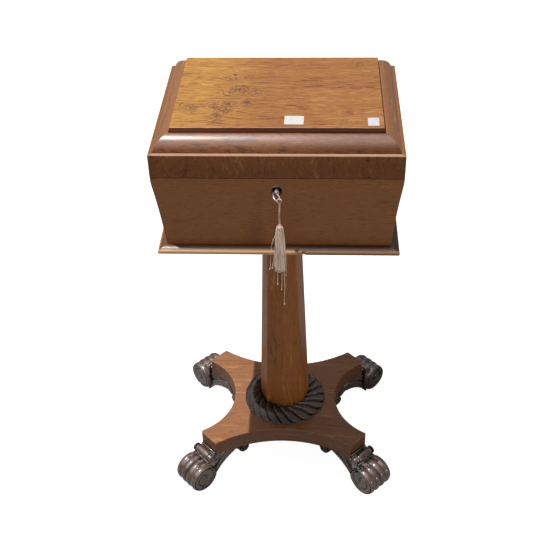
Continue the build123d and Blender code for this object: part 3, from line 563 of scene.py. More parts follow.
def arc3(a, b, c, count):
    """Points of the arc from a through b to c, in a plane."""
    (x1, y1), (x2, y2), (x3, y3) = a, b, c
    d = 2 * (x1 * (y2 - y3) + x2 * (y3 - y1) + x3 * (y1 - y2))
    s1, s2, s3 = x1 * x1 + y1 * y1, x2 * x2 + y2 * y2, x3 * x3 + y3 * y3
    ox = (s1 * (y2 - y3) + s2 * (y3 - y1) + s3 * (y1 - y2)) / d
    oy = (s1 * (x3 - x2) + s2 * (x1 - x3) + s3 * (x2 - x1)) / d
    radius = sqrt((x1 - ox) ** 2 + (y1 - oy) ** 2)
    start, middle, end = (atan2(y - oy, x - ox) for x, y in (a, b, c))

    def turn(t, ref):
        while t < ref:
            t += 2 * pi
        return t

    clockwise = turn(middle, start) > turn(end, start)
    if clockwise:
        start, end = end, start
    sweep = turn(end, start) - start
    angles = [start + sweep * i / count for i in range(count + 1)]
    points = [(ox + radius * cos(angle), oy + radius * sin(angle)) for angle in angles]
    return list(reversed(points)) if clockwise else points


def smooth_line(points, count):
    """Points along a smooth line (Catmull-Rom) through the given ones, with an even share per span."""
    ends = [points[0]] + list(points) + [points[-1]]
    spans = len(points) - 1
    line = []
    for k in range(count + 1):
        at = min(k / count * spans, spans - 1e-9)
        i = floor(at)
        t = at - i
        a, b, c, d = (Vector(p) for p in ends[i : i + 4])
        bent = (2 * b) + (c - a) * t + (2 * a - 5 * b + 4 * c - d) * t * t
        line.append(0.5 * (bent + (3 * b - a - 3 * c + d) * t**3))
    return line


def rounded(points, radius, steps=3):
    """A closed outline with its corners rounded by one radius, or one radius per corner."""
    result = []
    count = len(points)
    for i, here in enumerate(points):
        r = radius[i] if isinstance(radius, (list, tuple)) else radius
        if r <= 0:
            result.append(here)
            continue
        before, after = Vector(points[i - 1]), Vector(points[(i + 1) % count])
        corner = Vector(here)
        to_a, to_b = (before - corner), (after - corner)
        angle = to_a.angle(to_b)
        cut = min(r / max(1e-6, abs(tan(angle / 2))), 0.45 * min(to_a.length, to_b.length))
        a, b = corner + to_a.normalized() * cut, corner + to_b.normalized() * cut
        for k in range(steps + 1):
            t = k / steps
            result.append(tuple(a.lerp(corner, t).lerp(corner.lerp(b, t), t)))
    return result


def oblong(half_x, half_y, radius, steps=3):
    corners = [(-half_x, -half_y), (half_x, -half_y), (half_x, half_y), (-half_x, half_y)]
    return rounded(corners, radius, steps)


SIDE_TURN = {"front": 270.0, "right": 0.0, "back": 90.0, "left": 180.0}


def mitred_run(section, side, corner, steps=4):
    """One side of a mitred frame. The section is (half width, height) points; corners are rounded."""
    rings = []
    for end in (-1, 1):
        # Towards the corner's middle, from the side's own direction
        to_x, to_y = {"front": (end, -1), "right": (1, end), "back": (-end, 1), "left": (-1, -end)}[side]
        for k in range(steps + 1):
            angle = radians(SIDE_TURN[side] + 45.0 * (k / steps if end > 0 else k / steps - 1))
            rings.append([
                (
                    to_x * (w - corner) + corner * cos(angle),
                    to_y * (w - WIDTH_LESS_DEPTH - corner) + corner * sin(angle),
                    z,
                )
                for w, z in section
            ])
    return loft(rings)


def mitred_piece(name, section, side, kind, body, corner=1.2, grain=None):
    grain = grain or ("X" if side in ("front", "back") else "Y")
    run = mitred_run(section, side, corner)
    return piece(name + "_finished", run, wood(kind, grain), body, (name,))


def turned(section, steps):
    """A turned form from a closed section of (radius, height) points."""
    return looped([[(r * cos(a), r * sin(a), z) for r, z in section] for a in turns(steps)])


def barrel(profile, middle_s, middle_z, steps):
    """A form turned on an axis across the arm, from (n, radius) points."""
    return loft([[(middle_s + r * cos(a), n, middle_z + r * sin(a)) for a in turns(steps)] for n, r in profile])


def hoop(middle, u, v, radius, sides):
    """A ring of points round a middle, in the plane of two directions."""
    return [tuple(middle + (u * cos(a) + v * sin(a)) * radius) for a in turns(sides)]


def strand(path, radius, sides=6):
    """A round strand along a path of points in millimetres."""
    points = [Vector(p) for p in path]
    rings, normal = [], None
    for i, here in enumerate(points):
        run = (points[min(i + 1, len(points) - 1)] - points[max(i - 1, 0)]).normalized()
        if normal is None:
            normal = run.orthogonal().normalized()
        else:
            normal = (normal - run * normal.dot(run)).normalized()
        rings.append(hoop(here, normal, run.cross(normal), radius, sides))
    return loft(rings)


def ring_strand(path, radius, sides=10):
    """A strand whose path closes on itself."""
    points = [Vector(p) for p in path]
    middle = sum(points, Vector()) / len(points)
    axis = (points[0] - middle).cross(points[len(points) // 4] - middle).normalized()
    rings = []
    for i, here in enumerate(points):
        run = (points[(i + 1) % len(points)] - points[i - 1]).normalized()
        rings.append(hoop(here, run.cross(axis).normalized(), axis, radius, sides))
    return looped(rings)


def inset(outline, amount):
    """A closed outline moved inward by an amount; its corners stay sharp."""
    count = len(outline)
    following = outline[1:] + outline[:1]
    area = sum(a[0] * b[1] - b[0] * a[1] for a, b in zip(outline, following))
    hand = 1 if area > 0 else -1
    moved = []
    for i, here in enumerate(outline):
        here = Vector(here)
        run_in = (here - Vector(outline[i - 1])).normalized()
        run_out = (Vector(outline[(i + 1) % count]) - here).normalized()
        normal_in = Vector((-run_in.y, run_in.x)) * hand
        normal_out = Vector((-run_out.y, run_out.x)) * hand
        middle = (normal_in + normal_out).normalized()
        moved.append(tuple(here + middle * (amount / max(0.5, middle.dot(normal_in)))))
    return moved


def soft_slab(outline, low, high, soft, steps=3):
    """Rings of a flat piece between two levels, with softened edges: (points, level) pairs."""
    rings = []
    for k in range(steps + 1):
        a = pi / 2 * k / steps
        rings.append((inset(outline, soft * (1 - sin(a))), low + soft * (1 - cos(a))))
    return rings + [(points, high + low - level) for points, level in reversed(rings)]


# ---------------------------------------------------------------- lid
LIP_DEEP, LIP_GAP = 3.0, 0.6  # lid and case are each worn back by this at their outer lips
LID_THICK = 16.0

# Each label's name, middle, size, turn in degrees and tint
LABELS = (
    ("paper_label_long", (26.8, -100.3), (30.5, 26.5), -1.2, "F6F4F0"),
    ("paper_label_square", (150.8, -104.8), (17.5, 25.0), 0.6, "EDEAF4"),
)
LABEL_LEVELS = (0.02, 0.25)  # underside and face of the paper above the panel


def lid_section():
    """Upright side of the lid with a round on its upper edge and a small arris at the joint."""
    inner, lip, worn = HALF_TOP - LID_THICK, HALF_TOP - LIP_DEEP, JOINT + LIP_GAP
    outline = [(inner, JOINT), (lip, JOINT), (lip, worn), (HALF_TOP, worn), (HALF_TOP, LID_SHOULDER)]
    return rounded(outline + [(inner, LID_SHOULDER)], [0, 0, 0, 0.5, 2.2, 0], steps=4)


def cushion_section():
    """Convex moulding between the lid's shoulder and the panel."""
    swell = arc3((HALF_PANEL + 4.7, CUSHION_TOP), (186.6, 800.8), (HALF_CUSHION, LID_SHOULDER), 16)
    groove = HALF_PANEL + 1.7
    return swell + [(groove, LID_SHOULDER), (groove, CUSHION_TOP - 0.4), (groove + 0.4, CUSHION_TOP)]


def panel_shell():
    """The raised panel with its soft upper edge."""
    outline = oblong(HALF_PANEL, HALF_PANEL - WIDTH_LESS_DEPTH, 1.6, steps=4)
    steps = [(0.0, LID_SHOULDER), (0.0, TOP - 1.3), (0.2, TOP - 0.6), (0.6, TOP - 0.15), (1.3, TOP)]
    # A last ring on the flat keeps the soft edge's shading out of it
    flat = [(0.97 * x, 0.97 * y) for x, y in outline]
    return stacked([(inset(outline, amount), z) for amount, z in steps] + [(flat, TOP)])


class TEAPOY_OT_lid(bpy.types.Operator):
    """Builds the lid: upright sides, cushion mouldings, the figured panel and two blank labels"""

    bl_idname = "teapoy.lid"
    bl_label = "Lid"

    def execute(self, context):
        for side in SIDE_TURN:
            upright, cushion = ("frieze", "moulding") if side == "front" else ("ledge", "base")
            # The upright sides are cross-banded, so their grain runs up and down
            mitred_piece(f"lid_{side}", lid_section(), side, upright, "lid", grain="Z")
            mitred_piece(f"cushion_{side}", cushion_section(), side, cushion, "lid", corner=0.6)
        piece("lid_panel_finished", panel_shell(), wood("panel", "X"), "lid", ("lid_panel",), sharp=50)
        self.labels()
        paint(mahogany(), "lid_ground")
        return {"FINISHED"}

    def labels(self):
        """Two blank paper labels, stuck flat on the panel."""
        for name, (mx, my), (width, depth), turn, tint in LABELS:
            c, s = cos(radians(turn)), sin(radians(turn))
            outline = [(mx + x * c - y * s, my + x * s + y * c) for x, y in oblong(width / 2, depth / 2, 1.2)]
            paper = finish("coated_paper_" + tint.lower(), matt_paper, srgb(tint))
            shell = stacked([(outline, TOP + level) for level in LABEL_LEVELS])
            piece(name, shell, paper, "lid", flat=True)


# ---------------------------------------------------------------- case
# Sections of two cutters: the round recess at the keyhole and a chip about 8 mm long
RECESS = [(0.0, -8.0), (8.8, -8.0), (8.8, 12.0), (0.0, 12.0)]
CHIPPED = [(0.0, -9.0), (4.4, -9.0), (5.6, 9.0), (0.0, 9.0)]


def case_section():
    """Case side: upright inside, hollow outside and rounded out to upright at the joint."""
    neck, lip = (199.0, 725.0), JOINT - LIP_GAP
    hollow = arc3((HALF_FOOT, CASE_UNDER), (192.1, 666.0), neck, 18)
    head = arc3(neck, (200.25, 735.5), (HALF_TOP, lip - 0.4), 6)
    worn = [(HALF_TOP - 0.4, lip), (HALF_TOP - LIP_DEEP, lip), (HALF_TOP - LIP_DEEP, JOINT)]
    return hollow + head[1:] + worn + [(HALF_INSIDE, JOINT), (HALF_INSIDE, CASE_UNDER)]


def base_section():
    """Flat frame whose top falls away to a thin rounded edge."""
    inner = 160.0
    fall = arc3((HALF_FOOT + 1.0, CASE_UNDER), (192.6, 606.0), (197.0, 603.6), 8)
    edge = arc3((197.8, 603.0), (200.7, 601.6), (HALF_BASE, 598.8), 8)
    foot = [(HALF_BASE - 0.1, 596.8), (HALF_BASE - 0.6, BASE_UNDER), (HALF_BASE - 1.6, BASE_UNDER - 0.4)]
    return list(reversed(fall + edge + foot)) + [(inner, CASE_UNDER), (inner, BASE_UNDER)]


def cut_out(target, shell, place):
    """Cuts a form, given in millimetres about its own middle, out of a piece."""
    verts, faces = shell
    cutter = new_object("cutter", new_mesh("cutter", [tuple(place @ (Vector(v) * MM)) for v in verts], faces))
    cut = target.modifiers.new("Cut", "BOOLEAN")
    cut.operation, cut.solver, cut.object = "DIFFERENCE", "EXACT", cutter
    made = bpy.data.meshes.new_from_object(target.evaluated_get(bpy.context.evaluated_depsgraph_get()))
    target.modifiers.remove(cut)
    target.data = made
    bpy.data.objects.remove(cutter)


class TEAPOY_OT_case(bpy.types.Operator):
    """Builds the case: four curved sides, mitred at the corners, on a frame with a thin rounded edge"""

    bl_idname = "teapoy.case"
    bl_label = "Case"

    def execute(self, context):
        for side in SIDE_TURN:
            wall = mitred_piece(f"case_{side}", case_section(), side, "case", STAND)
            if side == "front":
                cut_out(wall, turned(RECESS, 40), KEYHOLE)
            edge = mitred_piece(f"base_moulding_{side}", base_section(), side, "edge", STAND, corner=1.5)
            if side == "front":
                cut_out(edge, turned(CHIPPED, 9), Matrix.Translation(CHIP))
        pine = finish("planed_pine_x", planed_wood, "X", srgb("9A7148"), srgb("6E4A2C"))
        paint(pine, "base_board", "case_floor")
        return {"FINISHED"}


# ---------------------------------------------------------------- pillar, collar and platform
COLLAR_SECTION = [
    (44.0, 106.0), (45.0, 121.5), (50.0, 124.6), (58.0, 126.2), (66.0, 125.6),
    (73.5, 121.6), (79.5, 115.0), (82.8, 109.0), (83.6, 105.5), (83.0, 104.0),
]
LOBE_SLANT = 44.0  # degrees that a lobe travels round the ring on its way out
LOBE_RIDGE = 0.3  # where each lobe's ridge is, across its width
GROOVE_RADIUS = 66.0  # where the grooves have their stated depth


def twisted_collar(lobes, groove, round_steps=18, line_steps=40):
    """Leaf-shaped lobes slant side by side across a low domed ring."""
    line = smooth_line(COLLAR_SECTION, line_steps)
    rings = []
    for k, here in enumerate(line):
        run = (line[min(k + 1, line_steps)] - line[max(k - 1, 0)]).normalized()
        out = Vector((-run.y, run.x))  # away from the ring's middle, up and outward
        across = k / line_steps
        swing = radians(LOBE_SLANT) * across**0.85
        fade = min(1.0, across / 0.14) * min(1.0, (1 - across) / 0.10)
        ring = []
        for turn in turns(lobes * round_steps):
            # Each lobe climbs steeply to a ridge and falls away slowly, so the lobes overlap like leaves
            share = (lobes * turn / (2 * pi)) % 1.0
            climb, fall = share / LOBE_RIDGE, (1 - share) / (1 - LOBE_RIDGE)
            wave = sin(0.5 * pi * min(1.0, climb)) if climb < 1 else 0.25 * fall**0.5 + 0.75 * fall
            p = here - out * (groove * (here.x / GROOVE_RADIUS) * fade * (1 - wave))
            a = turn + swing
            ring.append((p.x * cos(a), p.x * sin(a), p.y))
        rings.append(ring)
    return loft(rings, caps=False)


def platform_outline():
    """Four arms cut square at 45 degrees, with hollow sides between them."""
    arm_x, arm_y, cut, step = 165.7, 137.2, 30.6, 101.5
    tip_x, tip_y = arm_x - cut, arm_y - cut
    front = arc3((-tip_x, -arm_y), (0, -95.0), (tip_x, -arm_y), 40)
    right = arc3((arm_x, -step), (105.2, 0), (arm_x, step), 40)
    half = front + [(arm_x, -tip_y)] + right + [(arm_x, tip_y)]
    return half + [(-x, -y) for x, y in half]


class TEAPOY_OT_pillar(bpy.types.Operator):
    """Builds the eight-sided pillar and its bearer"""

    bl_idname = "teapoy.pillar"
    bl_label = "Pillar"

    def execute(self, context):
        levels = []
        for z in (PLATFORM_TOP, 340.0, BEARER_UNDER):
            share = (z - PLATFORM_TOP) / (BEARER_UNDER - PLATFORM_TOP)
            radius = COLUMN_FOOT_R + (COLUMN_HEAD_R - COLUMN_FOOT_R) * share
            levels.append((rounded([(radius * cos(a), radius * sin(a)) for a in turns(8)], 2.2, steps=4), z))
        piece("column_finished", stacked(levels), wood("pillar", "Z"), STAND, ("column",), flat=True)
        paint(mahogany(), "bearer")
        return {"FINISHED"}


class TEAPOY_OT_collar(bpy.types.Operator):
    """Builds the twisted collar round the pillar's foot"""

    bl_idname = "teapoy.collar"
    bl_label = "Collar"

    def execute(self, context):
        carving = context.scene.teapoy_carving
        shell = twisted_collar(carving.lobes, carving.groove / MM)
        piece("rope_collar_carved", shell, carved("collar"), STAND, ("rope_collar",), sharp=75)
        return {"FINISHED"}


class TEAPOY_OT_platform(bpy.types.Operator):
    """Builds the concave-sided platform"""

    bl_idname = "teapoy.platform"
    bl_label = "Platform"

    def execute(self, context):
        outline = platform_outline()
        # A further ring on each flat keeps the soft edge's shading out of it
        flat = inset(outline, 4.0)
        levels = [(flat, PLATFORM_UNDER), *soft_slab(outline, PLATFORM_UNDER, PLATFORM_TOP, 1.3), (flat, PLATFORM_TOP)]
        piece("platform_finished", stacked(levels), wood("base", "X"), STAND, ("platform",), sharp=40)
        paint(mahogany(), "foot_tenons")
        return {"FINISHED"}


# ---------------------------------------------------------------- feet
# Sizes of a foot in its own plane: s runs outward from the platform's tip, z up, n across
VOLUTE_S, VOLUTE_Z, VOLUTE_R, FOOT_HALF = 37.0, 32.6, 31.3, 28.5
VOLUTE_EYE = (42.5, 37.0)
ARM_HALF, STRAP_HALF = 19.4, 21.2
CURL_S, CURL_Z, CURL_R = -75.0, 35.0, 12.0
ROLL_S, ROLL_Z, ROLL_R, ROLL_HALF = 14.0, 70.6, 9.4, 24.3
REEDS = 4

# Each foot with the side of the teapoy that it is on, in x and in y
FOOT_SIDES = (("back_right", 1, 1), ("back_left", -1, 1), ("front_right", 1, -1), ("front_left", -1, -1))

# Beads against the platform's tip and below the roll: s, z, radius and half length
BEADS = ((2.4, 76.0, 2.0, 20.6), (6.2, 73.6, 2.2, 20.9), (21.4, 63.8, 2.2, 22.4))


def arch_line(count):
    """Hollow underside of the arm, from the sole up to the little curl."""
    return arc3((17.0, 0.8), (-9.0, 29.5), (-50.0, 47.5), count)


def arm_outline():
    """Side view of the arm in (s, z): flat under the platform, arched below."""
    curl = arc3((CURL_S + CURL_R, CURL_Z + 3.0), (CURL_S, CURL_Z - CURL_R), (CURL_S - CURL_R, CURL_Z), 14)
    neck = [(-87.0, PLATFORM_UNDER), (0.0, PLATFORM_UNDER), (0.0, 74.0), (6.0, 73.0), (13.0, 66.0), (20.0, 60.0)]
    return neck + [(VOLUTE_S, 60.0), (31.0, 0.0)] + arch_line(22) + curl


def strap_outline():
    """Raised band that follows the arch, some 15 mm wide."""
    upper = arc3((15.0, 22.0), (-12.5, 51.5), (-36.0, 64.5), 18)
    return arch_line(22) + [(-63.0, 40.0), (-62.0, 52.0), (-50.0, 66.0)] + list(reversed(upper)) + [(24.0, 10.0)]


def slab_across(outline, half, soft):
    """The outline cut through the arm's width: points are (s, n, z)."""
    return loft([[(s, n, z) for s, z in points] for points, n in soft_slab(outline, -half, half, soft)])


def reeds_across(half, deep, share=10):
    """Reeds side by side across a foot: (n, depth) with full round crests and narrow hollows."""
    total = REEDS * share
    line = []
    for k in range(total + 1):
        n = -half + 2 * half * k / total
        # The outermost reeds stop a little short of their hollows
        wave = abs(sin(pi * (0.09 + (REEDS - 0.18) * k / total)))
        line.append((n, 0.8 * (n / half) ** 2 + deep * (1 - wave**0.62)))
    return line


def reeded_neck():
    """The reeds run on from the barrel, up and in under the roll."""
    path = [(9.0, 66.5), (14.0, 65.0), (20.0, 63.6), (28.0, 63.6), (VOLUTE_S, VOLUTE_Z + VOLUTE_R - 0.1)]
    rings = []
    for n, sunk in reeds_across(FOOT_HALF - 3.0, 3.0):
        rings.append([(s, n, z - sunk) for s, z in path] + [(VOLUTE_S, n, 50.0), (9.0, n, 50.0)])
    return loft(rings)


def spiral_face(side, disc, eye, radius, n, winds, rise, hand=1):
    """Carved spiral on the end of a volute: a broad rib that winds in to an eye set off the middle."""
    radial, around = 40, 96
    pitch = radius / (winds + 0.35)
    rings = []
    for j in range(radial + 1):
        share = j / radial
        r = radius * share
        middle_s, middle_z = (inner + (outer - inner) * share for inner, outer in zip(eye, disc))
        boss = max(0.0, 1 - (r / (0.17 * radius)) ** 2) ** 0.5
        rim = min(1.0, (radius - r) / (0.05 * radius))
        tucked = 0 if j < radial else 1.0  # the outermost ring goes down into the wood
        ring = []
        for a in turns(around):
            u = (radius - r) / pitch + hand * side * a / (2 * pi) + 0.12
            rib = min(1.0, abs(sin(pi * u)) / 0.4) ** 0.8
            height = max(rise * rib * min(1.0, r / (0.14 * radius)), 1.1 * rise * boss) * rim
            ring.append((middle_s + r * cos(a), side * (n + height - tucked), middle_z + r * sin(a)))
        rings.append(ring)
    return loft(rings, caps=False)


def leaf(side, root, tip, wide, lift):
    """A carved leaf laid on the arm's flank, with a sunk vein down its middle and scalloped edges."""
    long_steps, wide_steps = 24, 10
    root, tip = Vector(root), Vector(tip)
    run = (tip - root).normalized()
    across = Vector((-run.y, run.x))
    rows = []
    for i in range(long_steps + 1):
        t = i / long_steps
        middle = root.lerp(tip, t) + across * (0.22 * wide * sin(pi * t))
        half = wide * sin(pi * min(1.0, 0.12 + 0.88 * (1 - t))) ** 0.8 * (1 - 0.16 * abs(sin(4 * pi * t)))
        row = []
        for k in range(wide_steps + 1):
            w = -1 + 2 * k / wide_steps
            height = lift * (1 - w * w) ** 0.5 * (1 - t) ** 0.4 - 0.4 * lift * (1 - min(1.0, abs(w) * 4))
            place = middle + across * (w * half)
            row.append((place.x, side * (ARM_HALF - 0.4 + max(-0.4, height)), place.y))
        rows.append(row)
    return loft(rows, closed=False, caps=False)


def roll_profile():
    """The roll across the neck: fuller in the middle, with a light reed near each end."""
    line = []
    for k in range(41):
        w = -1 + k / 20
        line.append((ROLL_HALF * w, ROLL_R - 3.4 * abs(w) ** 2.4 - (0.9 if 0.62 < abs(w) < 0.70 else 0.0)))
    return [(-ROLL_HALF, 3.0)] + line + [(ROLL_HALF, 3.0)]


def foot_shells():
    """All the carving of one foot in its own plane: s runs outward, n across, z up."""
    # The barrel's ends are dished behind the carved spirals
    dish, rim = FOOT_HALF - 5.0, VOLUTE_R - 4.6
    reeded = [(n, VOLUTE_R - sunk) for n, sunk in reeds_across(FOOT_HALF, 3.4)]
    shells = [
        slab_across(arm_outline(), ARM_HALF, 2.0),
        slab_across(strap_outline(), STRAP_HALF, 1.6),
        barrel([(-dish, rim)] + reeded + [(dish, rim)], VOLUTE_S, VOLUTE_Z, 112),
        reeded_neck(),
        barrel(roll_profile(), ROLL_S, ROLL_Z, 36),
    ]
    for s, z, r, half in BEADS:
        shells.append(barrel([(-half, 0.6 * r), (-half + 0.8, r), (half - 0.8, r), (half, 0.6 * r)], s, z, 16))
    volute, roll, curl = (VOLUTE_S, VOLUTE_Z), (ROLL_S, ROLL_Z), (CURL_S, CURL_Z)
    upper_edge = arc3((13.6, 21.4), (-13.2, 50.2), (-36.5, 63.0), 20)
    for side in (-1, 1):
        shells += [
            spiral_face(side, volute, VOLUTE_EYE, VOLUTE_R - 3.6, FOOT_HALF - 2.6, 1.5, 2.8),
            spiral_face(side, roll, roll, ROLL_R - 1.0, ROLL_HALF - 0.2, 0.9, 1.4),
            spiral_face(side, curl, curl, CURL_R - 0.6, STRAP_HALF - 0.2, 1.0, 1.4, hand=-1),
            leaf(side, (9.0, 57.0), (-27.0, 64.0), 8.5, 3.4),
            leaf(side, (8.0, 47.0), (-12.0, 58.0), 6.0, 2.6),
            # Beads that follow both edges of the strap
            strand([(s + 1.6, side * STRAP_HALF, z + 2.2) for s, z in arch_line(26)], 1.5, 8),
            strand([(s, side * (STRAP_HALF - 0.3), z) for s, z in upper_edge], 1.3, 8),
        ]
    return join(*shells)


class TEAPOY_OT_feet(bpy.types.Operator):
    """Builds the four carved scroll feet"""

    bl_idname = "teapoy.feet"
    bl_label = "Scroll feet"

    def execute(self, context):
        verts, faces = foot_shells()
        for name, sx, sy in FOOT_SIDES:
            placed = [(sx * (FOOT_X + (s + n) / sqrt(2)), sy * (FOOT_Y + (s - n) / sqrt(2)), z) for s, n, z in verts]
            foot = f"scroll_foot_{name}"
            piece(foot + "_carved", (placed, faces), carved(), STAND, (foot,), sharp=55)
        return {"FINISHED"}


# ---------------------------------------------------------------- lock, key and hinges
PLATE_SCREWS = [(x, -130.8, z) for x in (-34.5, 34.5) for z in (711.0, 727.0)]
LINK_SCREWS = [(x, -137.3, JOINT + 0.1) for x in (-29.0, 31.0)]
HINGE_X, HINGE_Y, HINGE_SCREWS = 120.0, 147.0, (-15.0, 0.0, 15.0)

# Sections of the key's shank, turned, and of its bit, cut
SHANK = [
    (0.0, -161.6), (1.0, -161.6), (2.5, -161.0), (2.5, -159.3), (3.9, -158.8), (3.9, -156.0),
    (2.5, -155.5), (2.5, -133.0), (2.0, -131.3), (0.0, -131.3),
]
BIT = [
    (0, -140.0), (7.6, -140.0), (7.6, -137.6), (5.6, -137.6), (5.6, -136.4), (7.6, -136.4), (7.6, -133.3), (0, -133.3),
]
BIT_HALF = 1.0
KEY_LEAN = 45.0  # degrees that the key stands turned at rest
BOW_Y, BOW_LONG, BOW_WIDE, BOW_WIRE = -172.0, 10.9, 7.15, 1.1  # middle, half sizes and thickness of the bow


def at_keyhole(shell):
    """A form drawn along its own upright axis, set in the leaning front."""
    verts, faces = shell
    return [tuple(KEYHOLE @ (Vector(v) * MM) / MM) for v in verts], faces


def screw_head(middle, axis, radius, slot_turn):
    """A countersunk head that stands a hair proud, with its slot."""
    up = Vector(axis).normalized()
    side = up.orthogonal().normalized()
    other = up.cross(side)
    rings = []
    for share, height in [(0.0, 0.42), (0.45, 0.40), (0.85, 0.28), (1.0, 0.05), (1.0, -0.6)]:
        ring = []
        for a in turns(24):
            across = abs(sin(a - radians(slot_turn))) * share * radius
            depth = 0.55 if share < 0.9 and across < 0.16 * radius else 0.0
            aside = (side * cos(a) + other * sin(a)) * share * radius
            ring.append(tuple(Vector(middle) + up * (height - depth) + aside))
        rings.append(ring)
    return loft(rings, caps=False)


def screws(name, middles, axis, radius, slot_turns, body):
    """The brass screw heads of one fitting."""
    heads = [screw_head(middle, axis, radius, turn) for middle, turn in zip(middles, slot_turns)]
    piece(name, join(*heads), brass(), body, sharp=30)


def keyhole_floor():
    """Floor of the round recess, 8 mm down, pierced by a keyhole."""
    deep, sunk, bore, pin_hole, bit_end, half_slot = -7.95, -11.5, 8.75, 3.3, 7.4, 1.8
    outer, inner = [], []
    for a in turns(48):
        outer.append((bore * cos(a), bore * sin(a), deep))
        x, y = pin_hole * cos(a), pin_hole * sin(a)
        # The slot for the bit points down the case
        inner.append((x, bit_end if y > 0 and abs(x) < half_slot else y, deep))
    return loft([outer, inner, [(x, y, sunk) for x, y, _ in inner]], caps=False)


class TEAPOY_OT_lock(bpy.types.Operator):
    """Finishes the lock: ring, recess, plates, bolt and their screws"""

    bl_idname = "teapoy.lock"
    bl_label = "Lock"

    def execute(self, context):
        # Ring let in round the keyhole, its face a little domed
        ring = rounded([(8.9, -2.4), (10.7, -2.4), (10.7, 0.6), (8.9, 0.6)], [0, 0, 0.8, 0.6], 4)
        dull = finish("tarnished_brass", old_metal, srgb("A39186"), srgb("5C4B42"), 0.42)
        piece("escutcheon_finished", at_keyhole(turned(ring, 56)), dull, STAND, ("escutcheon",))
        # The recess floor is painted near black: painted shade deep in the keyhole
        keyhole_shade = finish("blackened_rosewood", painted_shade_keyhole)
        piece("keyhole_floor", at_keyhole(keyhole_floor()), keyhole_shade, STAND)
        paint(brass(), "lock_plate", "lock_case", "link_plate")
        paint(steel(), "lock_bolt")
        screws("lock_screw_heads", PLATE_SCREWS, (0, 1, 0), 2.3, (20, 70, 120, 170), STAND)
        screws("link_screw_heads", LINK_SCREWS, (0, 0, -1), 2.0, (0, 35), "lid")
        return {"FINISHED"}


class TEAPOY_OT_key(bpy.types.Operator):
    """Builds the key: oval bow, shank with its stop, and bit"""

    bl_idname = "teapoy.key"
    bl_label = "Key"

    def execute(self, context):
        lean = radians(KEY_LEAN)
        bow = []
        for a in turns(48):
            across = BOW_WIDE * sin(a)
            bow.append((-across * sin(lean), BOW_Y + BOW_LONG * cos(a), KEY_Z + across * cos(lean)))
        verts, faces = turned(SHANK, 32)
        shank = [(x, z, KEY_Z + y) for x, y, z in verts], faces
        # The bit is in the plane of the bow, up to the left
        side, up = Vector((-sin(lean), 0, cos(lean))), Vector((cos(lean), 0, sin(lean)))
        outline = rounded(BIT, 0.3, 2)
        levels = (-BIT_HALF, BIT_HALF)
        bit = loft([[tuple(side * r + up * t + Vector((0, y, KEY_Z))) for r, y in outline] for t in levels])
        piece("key_finished", join(ring_strand(bow, BOW_WIRE), shank, bit), steel(), "key", ("key",), sharp=45)
        return {"FINISHED"}


class TEAPOY_OT_hinges(bpy.types.Operator):
    """Finishes the two butt hinges and adds their screw heads"""

    bl_idname = "teapoy.hinges"
    bl_label = "Hinges"

    def execute(self, context):
        for name, hinge_x in (("left", -HINGE_X), ("right", HINGE_X)):
            for part, body, level, up in (("case", STAND, JOINT - 0.1, 1), ("lid", "lid", JOINT + 0.1, -1)):
                paint(brass(), f"hinge_leaf_{part}_{name}")
                middles = [(hinge_x + x, HINGE_Y, level) for x in HINGE_SCREWS]
                screws(f"hinge_screw_heads_{part}_{name}", middles, (0, 0, up), 2.4, (-5.0, 40.0, 85.0), body)
        return {"FINISHED"}


# ---------------------------------------------------------------- tassel
CORD_ROUTE = [
    (4.6, -176.0, 708.8), (4.5, -176.0, 699.0), (4.2, -175.9, 690.0), (4.4, -176.0, 681.0), (4.6, -176.0, 672.0),
]
CORD_RADIUS = 0.0013  # metres
HEAD_SECTION = [
    (0.6, 673.0), (1.5, 672.4), (2.6, 670.6), (3.8, 667.6), (4.6, 664.6), (5.0, 661.6), (5.2, 660.0), (5.6, 658.0),
]
TIES, TIE_TOP, TIE_STEP = 3, 671.6, 0.9  # turns of thread that tie the head in
SKIRT_TOP, SKIRT_END = 668.0, 581.0
SKIRT_TOP_R, SKIRT_END_R = 2.6, 9.9
GOLDEN_SHARE = 0.618034  # of a turn between one thread and the next spreads them evenly
LOOSE_ROUTES = [
    [
        (0.5, -177.5, 664.0), (-3.0, -179.0, 652.0), (-8.5, -180.0, 636.0), (-11.0, -180.0, 612.0),
        (-12.0, -179.5, 590.0), (-13.0, -179.0, 584.0),
    ],
    [(1.5, -178.5, 662.0), (-2.0, -180.5, 645.0), (-4.5, -181.0, 620.0), (-7.5, -181.0, 596.0), (-9.0, -180.5, 588.0)],
    [(2.0, -180.0, 640.0), (0.5, -184.0, 600.0), (0.0, -184.0, 572.0), (-0.2, -183.5, 556.0)],
    [(6.0, -180.5, 640.0), (7.5, -184.0, 600.0), (7.0, -184.5, 566.0), (6.2, -184.0, 545.0)],
    [(8.0, -179.0, 640.0), (10.5, -182.5, 590.0), (11.5, -183.0, 550.0), (10.5, -183.0, 528.0), (10.1, -182.5, 512.0)],
    [(9.0, -178.0, 645.0), (13.0, -180.0, 610.0), (14.0, -180.0, 585.0), (13.5, -180.0, 572.0)],
]


def round_tie(r, a, z):
    """A point round the upright line that the tassel hangs in."""
    return TIE_X + r * cos(a), TIE_Y + r * sin(a), z


